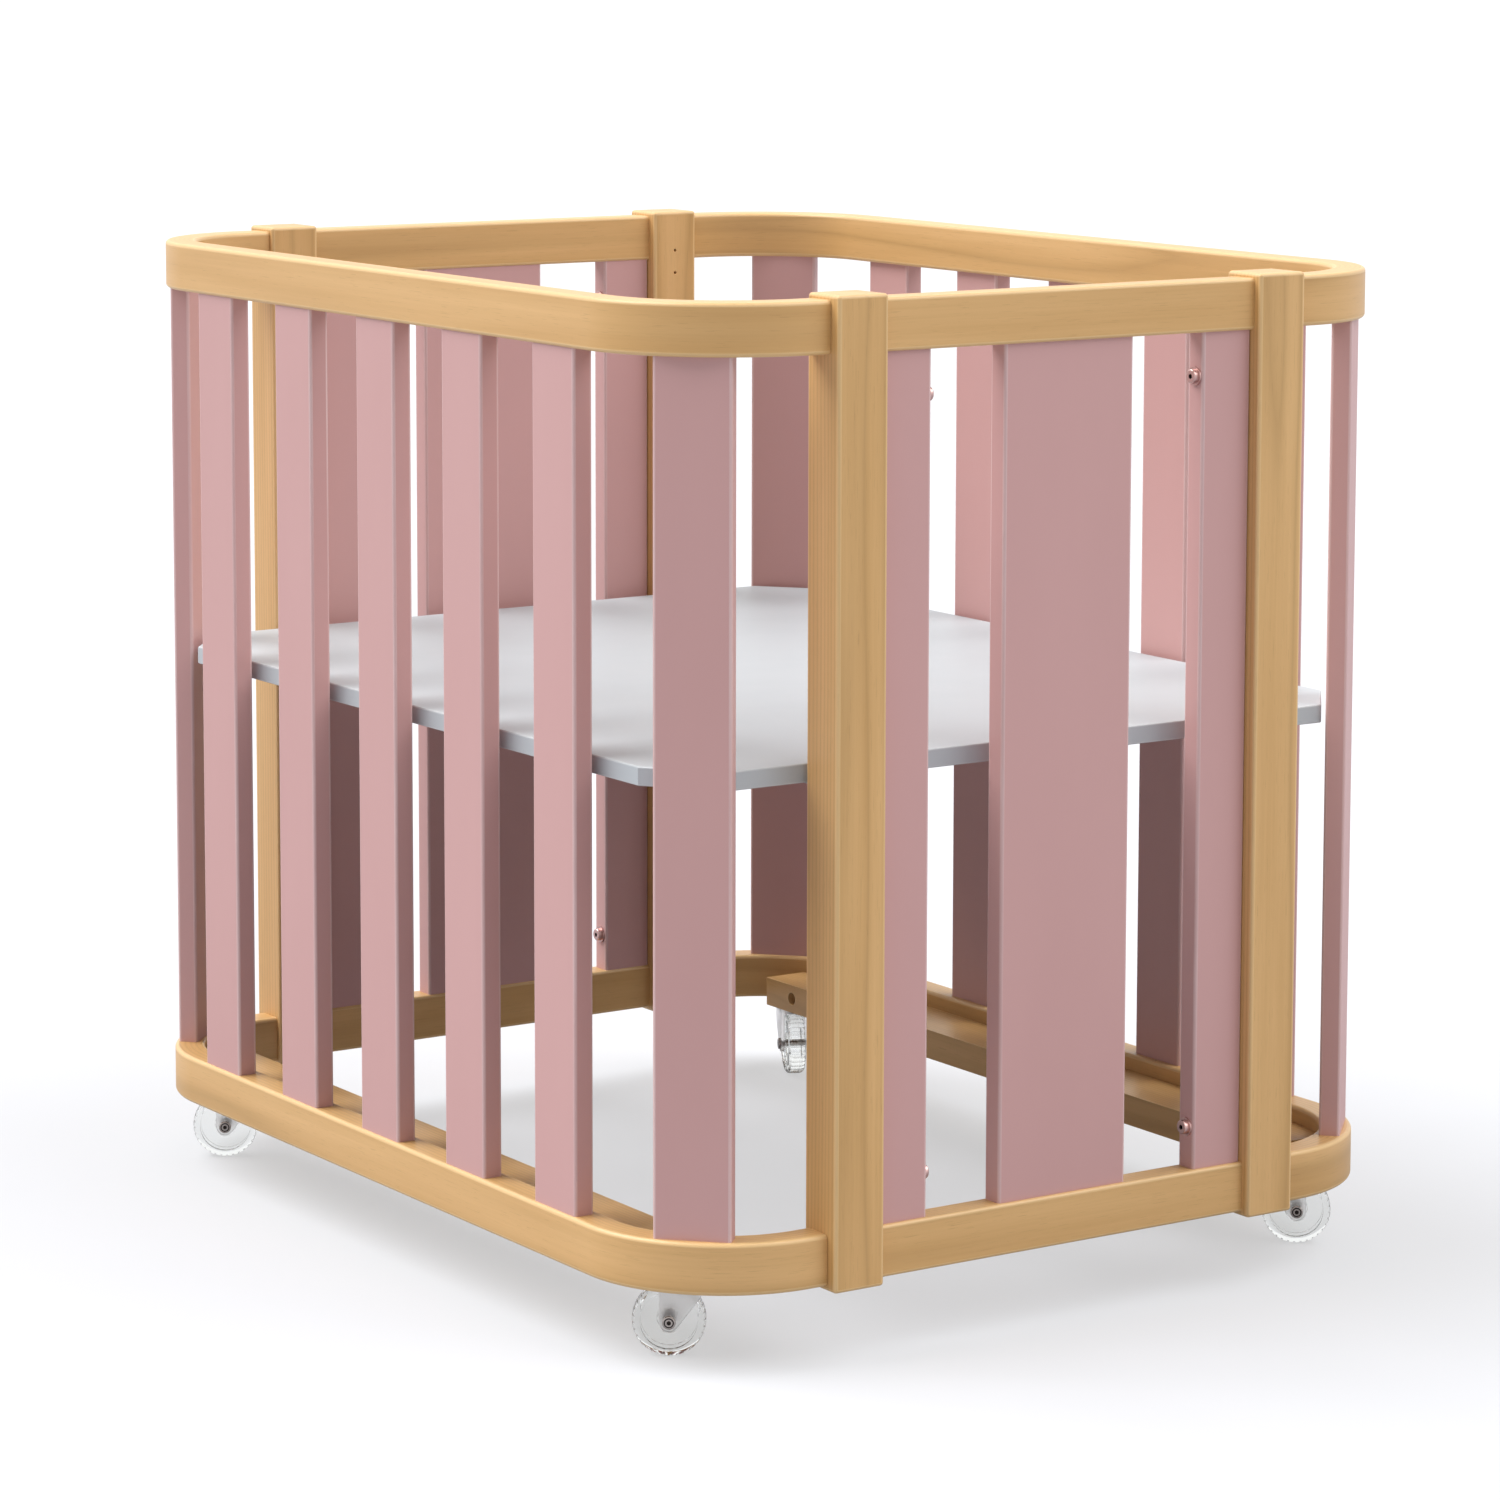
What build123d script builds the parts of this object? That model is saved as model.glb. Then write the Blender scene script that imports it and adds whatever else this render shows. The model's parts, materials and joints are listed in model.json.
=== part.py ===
from build123d import *
import math
import os

# Playpen: two U-shaped slatted ends, two straight side panels bolted between four
# posts, a flat mattress board and four clear swivel casters.
# Millimetres. X runs along the side panels, Y along the straight side of the two
# ends, Z up from the floor. The origin is on the floor under the middle.

# --- overall sizes -----------------------------------------------------------
POST_BOTTOM = 62.0
POST_TOP = 862.0
POST_WIDTH = 48.0
POST_DEPTH = 44.0
POST_ROUND = 3.0
PANEL_LENGTH = 375.0
HALF_LENGTH = 488.0

# --- rails -------------------------------------------------------------------
RAIL_HEIGHT = 43.0
BOTTOM_RAIL_Z = 66.0
TOP_RAIL_Z = 815.0
RAIL_ROUND = 3.0
END_REACH = 380.0
END_RAIL_THICKNESS = 28.0
END_RAIL_SETBACK = 11.0
END_CORNER_RADIUS = 130.0
PANEL_RAIL_THICKNESS = 26.0
PANEL_RAIL_SETBACK = 8.0

# --- slats -------------------------------------------------------------------
SLAT_WIDTH = 64.0
SLAT_THICKNESS = 18.0
SLAT_REVEAL = 3.0
SLAT_PITCH = 145.0
SLAT_ROUND = 2.5
TENON = 8.0
PANEL_SLAT_THICKNESS = 20.0
PANEL_SLAT_REVEAL = 4.0
STILE_WIDTH = 50.0
CENTRE_SLAT_WIDTH = 130.0

# --- mattress board ----------------------------------------------------------
BOARD_TOP = 485.0
BOARD_THICKNESS = 16.0
BOARD_HALF_X = 352.0
BOARD_HALF_Y = 438.0
BOARD_CHAMFER_X = 50.0
BOARD_CHAMFER_Y = 60.0
BOARD_ROUND = 1.5

# --- board brackets and their screws -----------------------------------------
BRACKET_WIDTH = 30.0
BRACKET_LEG = 40.0
BRACKET_SHEET = 2.0
BRACKET_SCREW_LOWS = (12.0, 28.0)
BRACKET_SCREW_DIAMETER = 4.0
BRACKET_SCREW_HEAD = 8.0
BRACKET_SCREW_HEAD_HEIGHT = 2.5
BRACKET_SCREW_LENGTH = 16.0
BOARD_SCREW_Y = 419.0
BOARD_SCREW_DIAMETER = 5.0
BOARD_SCREW_HEAD = 10.0
BOARD_SCREW_TIP = 460.0

# --- panel bolts -------------------------------------------------------------
BOLT_HEIGHTS = (144.0, 778.0)
BOLT_DIAMETER = 6.0
BOLT_CLEARANCE_HOLE = 7.0
BOLT_REACH = 12.0
BOLT_HEAD = 12.0
BOLT_HEAD_HEIGHT = 4.0
BOLT_SOCKET = 4.0
BOLT_SOCKET_DEPTH = 2.5
WASHER_DIAMETER = 16.0
WASHER_THICKNESS = 1.5
INSERT_DIAMETER = 10.0
INSERT_LENGTH = 14.0
PILOT_HOLE = 3.0
PILOT_DEPTH = 8.0
PILOT_HEIGHTS = (802.0, 824.0)

# --- dowels between end rails and posts --------------------------------------
DOWEL_DIAMETER = 8.0
DOWEL_HALF_LENGTH = 20.0
DOWEL_RISES = (11.5, 31.5)

# --- caster rails ------------------------------------------------------------
CASTER_RAIL_WIDTH = 60.0
CASTER_RAIL_THICKNESS = 28.0
CASTER_RAIL_HALF_LENGTH = 400.0
RAIL_SCREW_Y = 355.0
RAIL_SCREW_COUNTERBORE = 12.0
RAIL_SCREW_COUNTERBORE_DEPTH = 30.0
RAIL_SCREW_DIAMETER = 5.0
RAIL_SCREW_HEAD = 10.0
RAIL_SCREW_HEAD_HEIGHT = 4.0
RAIL_SCREW_GRIP = 20.0

# --- casters -----------------------------------------------------------------
CASTER_X = 312.0
CASTER_Y = 384.0
WHEEL_RADIUS = 30.0
WHEEL_WIDTH = 18.0
WHEEL_TREAD_ROUND = 2.0
WHEEL_RECESS_OUTER = 24.5
WHEEL_RECESS_INNER = 10.0
WHEEL_RECESS_DEPTH = 3.0
AXLE_DIAMETER = 6.0
AXLE_FIT = 0.05
AXLE_HEAD = 11.0
AXLE_HEAD_HEIGHT = 2.2
AXLE_SOCKET = 3.5
TRAIL = 12.0
FORK_GAP = 20.0
FORK_ARM = 3.5
FORK_ARM_TOP = (-20.0, 14.0)
FORK_ARM_SHOULDER = 51.0
FORK_ARM_TIP_RADIUS = 8.0
CROWN_BOTTOM = 61.4
CROWN_TOP = 65.6
FLANGE_RADIUS = 13.0
FLANGE_THICKNESS = 2.5
FLANGE_GAP = 0.4
PIN_DIAMETER = 8.0
PIN_FIT = 0.05
PIN_HEAD = 12.0
PIN_HEAD_HEIGHT = 1.2
STEM_LENGTH = 18.0
CASTERS = {
    "front_left": (-1, -1, -34.0),
    "rear_left": (-1, 1, -31.0),
    "front_right": (1, -1, 143.0),
    "rear_right": (1, 1, 65.0),
}

POST_INNER_X = PANEL_LENGTH / 2
POST_OUTER_X = POST_INNER_X + POST_WIDTH
POST_MIDDLE_X = POST_INNER_X + POST_WIDTH / 2
POST_INNER_Y = HALF_LENGTH - POST_DEPTH
END_HALF_Y = HALF_LENGTH - END_RAIL_SETBACK
END_INNER_X = END_REACH - END_RAIL_THICKNESS
PANEL_RAIL_Y = HALF_LENGTH - PANEL_RAIL_SETBACK - PANEL_RAIL_THICKNESS / 2
PANEL_SLAT_Y = HALF_LENGTH - PANEL_RAIL_SETBACK - PANEL_SLAT_REVEAL - PANEL_SLAT_THICKNESS / 2
SLAT_FOOT = BOTTOM_RAIL_Z + RAIL_HEIGHT - TENON
SLAT_HEAD = TOP_RAIL_Z + TENON
BOARD_BOTTOM = BOARD_TOP - BOARD_THICKNESS
SIDES_X = {"left": -1, "right": 1}
SIDES_Y = {"front": -1, "rear": 1}


def write(name, *solids):
    """Writes one node's solids to its own STEP file."""
    shape = solids[0] if len(solids) == 1 else Compound(children=list(solids))
    export_step(shape, f"parts/{name}.step")


def block(low, high):
    """Box between two corners."""
    size = [high[i] - low[i] for i in range(3)]
    centre = [(high[i] + low[i]) / 2 for i in range(3)]
    return Pos(*centre) * Box(*size)


def rod(start, direction, radius, length):
    """Cylinder from a start point along a direction."""
    plane = Plane(origin=start, z_dir=direction)
    return extrude(plane * Circle(radius), amount=length)


def mirrored_block(sign_x, sign_y, low, high):
    """Box given for positive X and Y, moved to the quadrant with these signs."""
    xs = sorted((sign_x * low[0], sign_x * high[0]))
    ys = sorted((sign_y * low[1], sign_y * high[1]))
    return block((xs[0], ys[0], low[2]), (xs[1], ys[1], high[2]))


def slat(width, thickness, foot, head):
    """Upright slat, its faces along X, with its upright edges rounded."""
    body = block((-width / 2, -thickness / 2, foot), (width / 2, thickness / 2, head))
    return fillet(body.edges().filter_by(Axis.Z), SLAT_ROUND)


def end_slats(side):
    """The seven slats of one end: one per corner and five on the straight side."""
    upright = slat(SLAT_WIDTH, SLAT_THICKNESS, SLAT_FOOT, SLAT_HEAD)
    straight_x = END_REACH - SLAT_REVEAL - SLAT_THICKNESS / 2
    chord = END_CORNER_RADIUS - SLAT_REVEAL
    outer_face = math.sqrt(chord**2 - (SLAT_WIDTH / 2) ** 2)
    middle = (outer_face - SLAT_THICKNESS / 2) / math.sqrt(2)
    corner_x = END_REACH - END_CORNER_RADIUS + middle
    corner_y = END_HALF_Y - END_CORNER_RADIUS + middle
    made = [Pos(side * corner_x, -corner_y, 0) * Rot(0, 0, side * 45) * upright]
    for step in range(-2, 3):
        made.append(Pos(side * straight_x, step * SLAT_PITCH, 0) * Rot(0, 0, 90) * upright)
    made.append(Pos(side * corner_x, corner_y, 0) * Rot(0, 0, -side * 45) * upright)
    return made


def end_plan(inset):
    """Rounded rectangle inset from the outer edge of both ends."""
    return RectangleRounded(
        2 * (END_REACH - inset), 2 * (END_HALF_Y - inset), END_CORNER_RADIUS - inset
    )


def end_rail(side, bottom):
    """U-shaped rail of one end, its arms stopping at the posts."""
    ring = extrude(end_plan(0) - end_plan(END_RAIL_THICKNESS), amount=RAIL_HEIGHT)
    keep = mirrored_block(
        side, 1, (POST_OUTER_X, -HALF_LENGTH, 0), (END_REACH, HALF_LENGTH, RAIL_HEIGHT)
    )
    rail = (ring & keep).solids()[0]
    flats = rail.faces().sort_by(Axis.Z)
    long_edges = [
        edge
        for face in (flats[0], flats[-1])
        for edge in face.edges()
        if abs(abs(edge.center().X) - POST_OUTER_X) > 1e-3
    ]
    return Pos(0, 0, bottom) * fillet(long_edges, RAIL_ROUND)


def dowels(side, bottom):
    """Dowels joining both arm ends of one end rail to the posts."""
    made = []
    for sign_y in SIDES_Y.values():
        for rise in DOWEL_RISES:
            start = (
                side * (POST_OUTER_X - DOWEL_HALF_LENGTH),
                sign_y * (END_HALF_Y - END_RAIL_THICKNESS / 2),
                bottom + rise,
            )
            made.append(rod(start, (side, 0, 0), DOWEL_DIAMETER / 2, 2 * DOWEL_HALF_LENGTH))
    return made


def bolt_axes(sign_x, sign_y):
    """Start points, on the stile's inner edge, of the bolts into one post."""
    edge_x = POST_INNER_X - STILE_WIDTH
    return [(sign_x * edge_x, sign_y * PANEL_SLAT_Y, z) for z in BOLT_HEIGHTS]


def bolt(start, sign_x):
    """Socket-head bolt through a stile into its post."""
    head_face = start[0] - sign_x * WASHER_THICKNESS
    length = STILE_WIDTH + BOLT_REACH + WASHER_THICKNESS
    shank = rod((head_face, start[1], start[2]), (sign_x, 0, 0), BOLT_DIAMETER / 2, length)
    top = (head_face - sign_x * BOLT_HEAD_HEIGHT, start[1], start[2])
    head = rod(top, (sign_x, 0, 0), BOLT_HEAD / 2, BOLT_HEAD_HEIGHT)
    outer_rim = head.edges().sort_by(Axis.X)[0 if sign_x > 0 else -1]
    head = fillet(outer_rim, BOLT_HEAD_HEIGHT / 3)
    socket_plane = Plane(origin=top, z_dir=(sign_x, 0, 0))
    socket = extrude(
        socket_plane * RegularPolygon(BOLT_SOCKET / 2, 6, major_radius=False),
        amount=BOLT_SOCKET_DEPTH,
    )
    return head + shank - socket


def washer(start, sign_x):
    """Washer under one bolt head."""
    face = (start[0] - sign_x * WASHER_THICKNESS, start[1], start[2])
    ring = rod(face, (sign_x, 0, 0), WASHER_DIAMETER / 2, WASHER_THICKNESS)
    return ring - rod(face, (sign_x, 0, 0), BOLT_DIAMETER / 2, WASHER_THICKNESS)


def threaded_insert(start, sign_x):
    """Threaded insert set in a post for one bolt."""
    face = (sign_x * POST_INNER_X, start[1], start[2])
    body = rod(face, (sign_x, 0, 0), INSERT_DIAMETER / 2, INSERT_LENGTH)
    return body - rod(face, (sign_x, 0, 0), BOLT_DIAMETER / 2, INSERT_LENGTH)


def bracket(sign_x, sign_y):
    """Angle bracket carrying the board at one post."""
    low_x = POST_MIDDLE_X - BRACKET_WIDTH / 2
    high_x = POST_MIDDLE_X + BRACKET_WIDTH / 2
    upright = mirrored_block(
        sign_x,
        sign_y,
        (low_x, POST_INNER_Y - BRACKET_SHEET, BOARD_BOTTOM - BRACKET_LEG),
        (high_x, POST_INNER_Y, BOARD_BOTTOM),
    )
    shelf = mirrored_block(
        sign_x,
        sign_y,
        (low_x, POST_INNER_Y - BRACKET_LEG, BOARD_BOTTOM - BRACKET_SHEET),
        (high_x, POST_INNER_Y, BOARD_BOTTOM),
    )
    return upright + shelf


def bracket_screws(sign_x, sign_y):
    """Screws holding one bracket to its post."""
    made = []
    for low in BRACKET_SCREW_LOWS:
        z = BOARD_BOTTOM - BRACKET_LEG + low
        face_y = POST_INNER_Y - BRACKET_SHEET
        start = (sign_x * POST_MIDDLE_X, sign_y * (face_y - BRACKET_SCREW_HEAD_HEIGHT), z)
        head = rod(start, (0, sign_y, 0), BRACKET_SCREW_HEAD / 2, BRACKET_SCREW_HEAD_HEIGHT)
        length = BRACKET_SCREW_HEAD_HEIGHT + BRACKET_SHEET + BRACKET_SCREW_LENGTH
        made.append(head + rod(start, (0, sign_y, 0), BRACKET_SCREW_DIAMETER / 2, length))
    return made


def board_screw(sign_x, sign_y):
    """Flush countersunk screw through the board into a bracket."""
    x = sign_x * POST_MIDDLE_X
    y = sign_y * BOARD_SCREW_Y
    shank = rod((x, y, BOARD_SCREW_TIP), (0, 0, 1), BOARD_SCREW_DIAMETER / 2, BOARD_TOP - BOARD_SCREW_TIP)
    sink = (BOARD_SCREW_HEAD - BOARD_SCREW_DIAMETER) / 2
    cone = Pos(x, y, BOARD_TOP - sink / 2) * Cone(
        BOARD_SCREW_DIAMETER / 2, BOARD_SCREW_HEAD / 2, sink
    )
    return shank + cone


def mattress_board():
    """Flat board with the four corners cut off."""
    flat_x = BOARD_HALF_X - BOARD_CHAMFER_X
    flat_y = BOARD_HALF_Y - BOARD_CHAMFER_Y
    outline = [
        (-flat_x, -BOARD_HALF_Y),
        (flat_x, -BOARD_HALF_Y),
        (BOARD_HALF_X, -flat_y),
        (BOARD_HALF_X, flat_y),
        (flat_x, BOARD_HALF_Y),
        (-flat_x, BOARD_HALF_Y),
        (-BOARD_HALF_X, flat_y),
        (-BOARD_HALF_X, -flat_y),
    ]
    face = make_face(Polyline(*outline, close=True))
    board = Pos(0, 0, BOARD_BOTTOM) * extrude(face, amount=BOARD_THICKNESS)
    rims = board.edges().group_by(Axis.Z)
    return fillet(rims[0] + rims[-1], BOARD_ROUND)


def rail_screw(side, sign_y):
    """Screw through a caster rail into the end rail, head down in its counterbore."""
    seat = END_INNER_X - CASTER_RAIL_WIDTH + RAIL_SCREW_COUNTERBORE_DEPTH
    y = sign_y * RAIL_SCREW_Y
    z = BOTTOM_RAIL_Z + CASTER_RAIL_THICKNESS / 2
    start = (side * (seat - RAIL_SCREW_HEAD_HEIGHT), y, z)
    head = rod(start, (side, 0, 0), RAIL_SCREW_HEAD / 2, RAIL_SCREW_HEAD_HEIGHT)
    length = END_INNER_X + RAIL_SCREW_GRIP - seat + RAIL_SCREW_HEAD_HEIGHT
    return head + rod(start, (side, 0, 0), RAIL_SCREW_DIAMETER / 2, length)


def caster_rail(side):
    """Board inside the bottom end rail that carries two casters."""
    plan = extrude(end_plan(END_RAIL_THICKNESS), amount=CASTER_RAIL_THICKNESS)
    keep = mirrored_block(
        side,
        1,
        (END_INNER_X - CASTER_RAIL_WIDTH, -CASTER_RAIL_HALF_LENGTH, 0),
        (END_INNER_X, CASTER_RAIL_HALF_LENGTH, CASTER_RAIL_THICKNESS),
    )
    rail = Pos(0, 0, BOTTOM_RAIL_Z) * (plan & keep).solids()[0]
    for sign_y in SIDES_Y.values():
        start = (
            side * (END_INNER_X - CASTER_RAIL_WIDTH),
            sign_y * RAIL_SCREW_Y,
            BOTTOM_RAIL_Z + CASTER_RAIL_THICKNESS / 2,
        )
        rail -= rod(
            start, (side, 0, 0), RAIL_SCREW_COUNTERBORE / 2, RAIL_SCREW_COUNTERBORE_DEPTH
        )
        rail -= rail_screw(side, sign_y)
        foot = (side * CASTER_X, sign_y * CASTER_Y, BOTTOM_RAIL_Z)
        rail -= rod(foot, (0, 0, 1), PIN_DIAMETER / 2, STEM_LENGTH)
        rail -= rod(foot, (0, 0, 1), FLANGE_RADIUS, FLANGE_THICKNESS)
    return rail


def caster_mount():
    """Steel flange set in the caster rail, stem up into it and pin down through the fork."""
    flange = rod((0, 0, BOTTOM_RAIL_Z), (0, 0, 1), FLANGE_RADIUS, FLANGE_THICKNESS)
    pin_low = CROWN_BOTTOM - FLANGE_GAP - PIN_HEAD_HEIGHT
    stem_top = BOTTOM_RAIL_Z + STEM_LENGTH
    shaft = rod((0, 0, pin_low), (0, 0, 1), PIN_DIAMETER / 2, stem_top - pin_low)
    head = rod((0, 0, pin_low), (0, 0, 1), PIN_HEAD / 2, PIN_HEAD_HEIGHT)
    return flange + shaft + head


def caster_fork():
    """Clear fork: flat crown and two tapered arms down to the axle."""
    half_width = FORK_GAP / 2 + FORK_ARM
    arm_length = FORK_ARM_TOP[1] - FORK_ARM_TOP[0]
    arm_middle = (FORK_ARM_TOP[1] + FORK_ARM_TOP[0]) / 2
    crown_plan = Pos(arm_middle, 0) * Rectangle(arm_length, 2 * half_width)
    crown = Pos(0, 0, CROWN_BOTTOM) * extrude(crown_plan, amount=CROWN_TOP - CROWN_BOTTOM)
    arm_plan = make_hull(
        [
            *Polyline(
                (FORK_ARM_TOP[0], CROWN_TOP),
                (FORK_ARM_TOP[0], FORK_ARM_SHOULDER),
                (FORK_ARM_TOP[1], FORK_ARM_SHOULDER),
                (FORK_ARM_TOP[1], CROWN_TOP),
                close=True,
            ).edges(),
            *(Pos(-TRAIL, WHEEL_RADIUS) * Circle(FORK_ARM_TIP_RADIUS)).edges(),
        ]
    )
    fork = crown
    for start_y in (-half_width, FORK_GAP / 2):
        plane = Plane(origin=(0, start_y + FORK_ARM, 0), x_dir=(1, 0, 0), z_dir=(0, -1, 0))
        fork += extrude(plane * arm_plan, amount=FORK_ARM)
    crown_thickness = CROWN_TOP - CROWN_BOTTOM
    fork -= rod((0, 0, CROWN_BOTTOM), (0, 0, 1), PIN_DIAMETER / 2 + PIN_FIT, crown_thickness)
    return fork - rod((-TRAIL, -half_width, WHEEL_RADIUS), (0, 1, 0), AXLE_DIAMETER / 2, 2 * half_width)


def caster_wheel():
    """Clear disc wheel with a ring recess in each face and a plain bore."""
    half = WHEEL_WIDTH / 2
    disc = rod((-TRAIL, -half, WHEEL_RADIUS), (0, 1, 0), WHEEL_RADIUS, WHEEL_WIDTH)
    disc = fillet(disc.edges(), WHEEL_TREAD_ROUND)
    for face_y, way in ((-half, 1), (half, -1)):
        plane = Plane(origin=(-TRAIL, face_y, WHEEL_RADIUS), z_dir=(0, way, 0))
        ring = Circle(WHEEL_RECESS_OUTER) - Circle(WHEEL_RECESS_INNER)
        disc -= extrude(plane * ring, amount=WHEEL_RECESS_DEPTH)
    bore = AXLE_DIAMETER / 2 + AXLE_FIT
    return disc - rod((-TRAIL, -half, WHEEL_RADIUS), (0, 1, 0), bore, WHEEL_WIDTH)


def caster_axle():
    """Steel axle with a socket head outside each fork arm."""
    outer = FORK_GAP / 2 + FORK_ARM
    axle = rod((-TRAIL, -outer, WHEEL_RADIUS), (0, 1, 0), AXLE_DIAMETER / 2, 2 * outer)
    for way in (-1, 1):
        head = rod((-TRAIL, way * outer, WHEEL_RADIUS), (0, way, 0), AXLE_HEAD / 2, AXLE_HEAD_HEIGHT)
        rim = head.edges().sort_by(Axis.Y)[0 if way < 0 else -1]
        head = fillet(rim, AXLE_HEAD_HEIGHT / 3)
        face = Plane(
            origin=(-TRAIL, way * (outer + AXLE_HEAD_HEIGHT), WHEEL_RADIUS), z_dir=(0, -way, 0)
        )
        socket = extrude(
            face * RegularPolygon(AXLE_SOCKET / 2, 6, major_radius=False),
            amount=AXLE_HEAD_HEIGHT / 2,
        )
        axle += head - socket
    return axle


def make_ends(dowel_solids):
    """Both U-shaped ends."""
    for name, side in SIDES_X.items():
        slats = end_slats(side)
        cutters = [*slats, *dowel_solids]
        for level, bottom in (("bottom", BOTTOM_RAIL_Z), ("top", TOP_RAIL_Z)):
            rail = end_rail(side, bottom) - cutters
            if level == "bottom":
                rail -= [rail_screw(side, sign_y) for sign_y in SIDES_Y.values()]
            write(f"{name}_end_{level}_rail", rail)
        for number, piece in enumerate(slats, 1):
            write(f"{name}_end_slat_{number}", piece)


def make_posts(dowel_solids):
    """The four posts with their holes."""
    for name_y, sign_y in SIDES_Y.items():
        for name_x, sign_x in SIDES_X.items():
            post = mirrored_block(
                sign_x,
                sign_y,
                (POST_INNER_X, POST_INNER_Y, POST_BOTTOM),
                (POST_OUTER_X, HALF_LENGTH, POST_TOP),
            )
            post = fillet(post.edges(), POST_ROUND)
            post -= dowel_solids
            for start in bolt_axes(sign_x, sign_y):
                face = (sign_x * POST_INNER_X, start[1], start[2])
                post -= rod(face, (sign_x, 0, 0), INSERT_DIAMETER / 2, INSERT_LENGTH)
            post -= bracket_screws(sign_x, sign_y)
            for z in PILOT_HEIGHTS:
                mouth = (sign_x * POST_MIDDLE_X, sign_y * POST_INNER_Y, z)
                post -= rod(mouth, (0, sign_y, 0), PILOT_HOLE / 2, PILOT_DEPTH)
            write(f"post_{name_y}_{name_x}", post)


def make_panels():
    """Both straight side panels."""
    edge_x = POST_INNER_X - STILE_WIDTH / 2
    stile = slat(STILE_WIDTH, PANEL_SLAT_THICKNESS, SLAT_FOOT, SLAT_HEAD)
    centre = slat(CENTRE_SLAT_WIDTH, PANEL_SLAT_THICKNESS, SLAT_FOOT, SLAT_HEAD)
    stile_sides = {"stile_left": -1, "stile_right": 1}
    for name, sign_y in SIDES_Y.items():
        uprights = {
            "stile_left": Pos(-edge_x, sign_y * PANEL_SLAT_Y, 0) * stile,
            "centre_slat": Pos(0, sign_y * PANEL_SLAT_Y, 0) * centre,
            "stile_right": Pos(edge_x, sign_y * PANEL_SLAT_Y, 0) * stile,
        }
        for level, bottom in (("bottom", BOTTOM_RAIL_Z), ("top", TOP_RAIL_Z)):
            rail = block(
                (-POST_INNER_X, sign_y * PANEL_RAIL_Y - PANEL_RAIL_THICKNESS / 2, bottom),
                (POST_INNER_X, sign_y * PANEL_RAIL_Y + PANEL_RAIL_THICKNESS / 2, bottom + RAIL_HEIGHT),
            )
            rail = fillet(rail.edges().filter_by(Axis.X), RAIL_ROUND)
            write(f"{name}_panel_{level}_rail", rail - list(uprights.values()))
        for piece, shape in uprights.items():
            if piece in stile_sides:
                sign_x = stile_sides[piece]
                for start in bolt_axes(sign_x, sign_y):
                    shape -= rod(start, (sign_x, 0, 0), BOLT_CLEARANCE_HOLE / 2, STILE_WIDTH)
            write(f"{name}_panel_{piece}", shape)


def make_hardware(dowel_solids):
    """Fasteners and brackets, each kind as one group of separate solids."""
    corners = [(x, y) for y in SIDES_Y.values() for x in SIDES_X.values()]
    axes = [(start, x) for x, y in corners for start in bolt_axes(x, y)]
    write("panel_bolts", *[bolt(start, x) for start, x in axes])
    write("panel_washers", *[washer(start, x) for start, x in axes])
    write("threaded_inserts", *[threaded_insert(start, x) for start, x in axes])
    write("rail_dowels", *dowel_solids)
    write("caster_rail_screws", *[rail_screw(x, y) for x, y in corners])
    write("bracket_screws", *[screw for x, y in corners for screw in bracket_screws(x, y)])
    write("board_screws", *[board_screw(x, y) for x, y in corners])
    brackets = []
    for x, y in corners:
        brackets.append(bracket(x, y) - bracket_screws(x, y) - board_screw(x, y))
    write("board_brackets", *brackets)
    write("mattress_board", mattress_board() - [board_screw(x, y) for x, y in corners])


def make_casters():
    """The four casters, each turned about its own upright pin."""
    pieces = {
        "mount": caster_mount(),
        "fork": caster_fork(),
        "wheel": caster_wheel(),
        "axle": caster_axle(),
    }
    for name, (sign_x, sign_y, heading) in CASTERS.items():
        place = Pos(sign_x * CASTER_X, sign_y * CASTER_Y, 0) * Rot(0, 0, heading)
        for piece, shape in pieces.items():
            write(f"caster_{name}_{piece}", place * shape)


os.makedirs("parts", exist_ok=True)
dowel_solids = []
for side in SIDES_X.values():
    for level_bottom in (BOTTOM_RAIL_Z, TOP_RAIL_Z):
        dowel_solids += dowels(side, level_bottom)
make_ends(dowel_solids)
make_posts(dowel_solids)
make_panels()
make_hardware(dowel_solids)
for name, side in SIDES_X.items():
    write(f"{name}_caster_rail", caster_rail(side))
make_casters()
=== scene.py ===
"""Looks of a wooden playpen with slatted rounded ends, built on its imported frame."""

from __future__ import annotations

import json
import logging
import math
import random
from contextlib import contextmanager
from dataclasses import dataclass, field
from enum import Enum
from typing import Callable, Iterator

import bpy
from mathutils import Matrix, Vector


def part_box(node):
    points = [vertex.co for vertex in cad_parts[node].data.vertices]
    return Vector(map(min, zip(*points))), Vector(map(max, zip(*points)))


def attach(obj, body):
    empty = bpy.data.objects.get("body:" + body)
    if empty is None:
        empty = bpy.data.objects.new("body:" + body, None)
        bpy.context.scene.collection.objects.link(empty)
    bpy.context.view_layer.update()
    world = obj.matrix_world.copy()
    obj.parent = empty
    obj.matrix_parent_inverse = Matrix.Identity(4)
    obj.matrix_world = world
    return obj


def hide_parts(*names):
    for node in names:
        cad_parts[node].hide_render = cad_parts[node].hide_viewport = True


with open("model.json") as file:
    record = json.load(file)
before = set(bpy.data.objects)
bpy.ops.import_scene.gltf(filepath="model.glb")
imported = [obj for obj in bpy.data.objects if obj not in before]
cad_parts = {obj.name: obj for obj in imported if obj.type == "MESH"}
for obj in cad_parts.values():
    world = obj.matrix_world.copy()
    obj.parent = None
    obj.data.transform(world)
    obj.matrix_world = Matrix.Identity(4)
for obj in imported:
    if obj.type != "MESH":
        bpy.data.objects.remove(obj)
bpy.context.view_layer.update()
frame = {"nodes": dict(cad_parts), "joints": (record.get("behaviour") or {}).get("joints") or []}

log = logging.getLogger("playpen")
MM = 0.001
UP = Vector((0.0, 0.0, 1.0))
TOUCHING = 1e-5  # Metres within which two places are the same.
ALONG = 0.9  # Share of its direction above which an edge runs along an axis.
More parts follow.
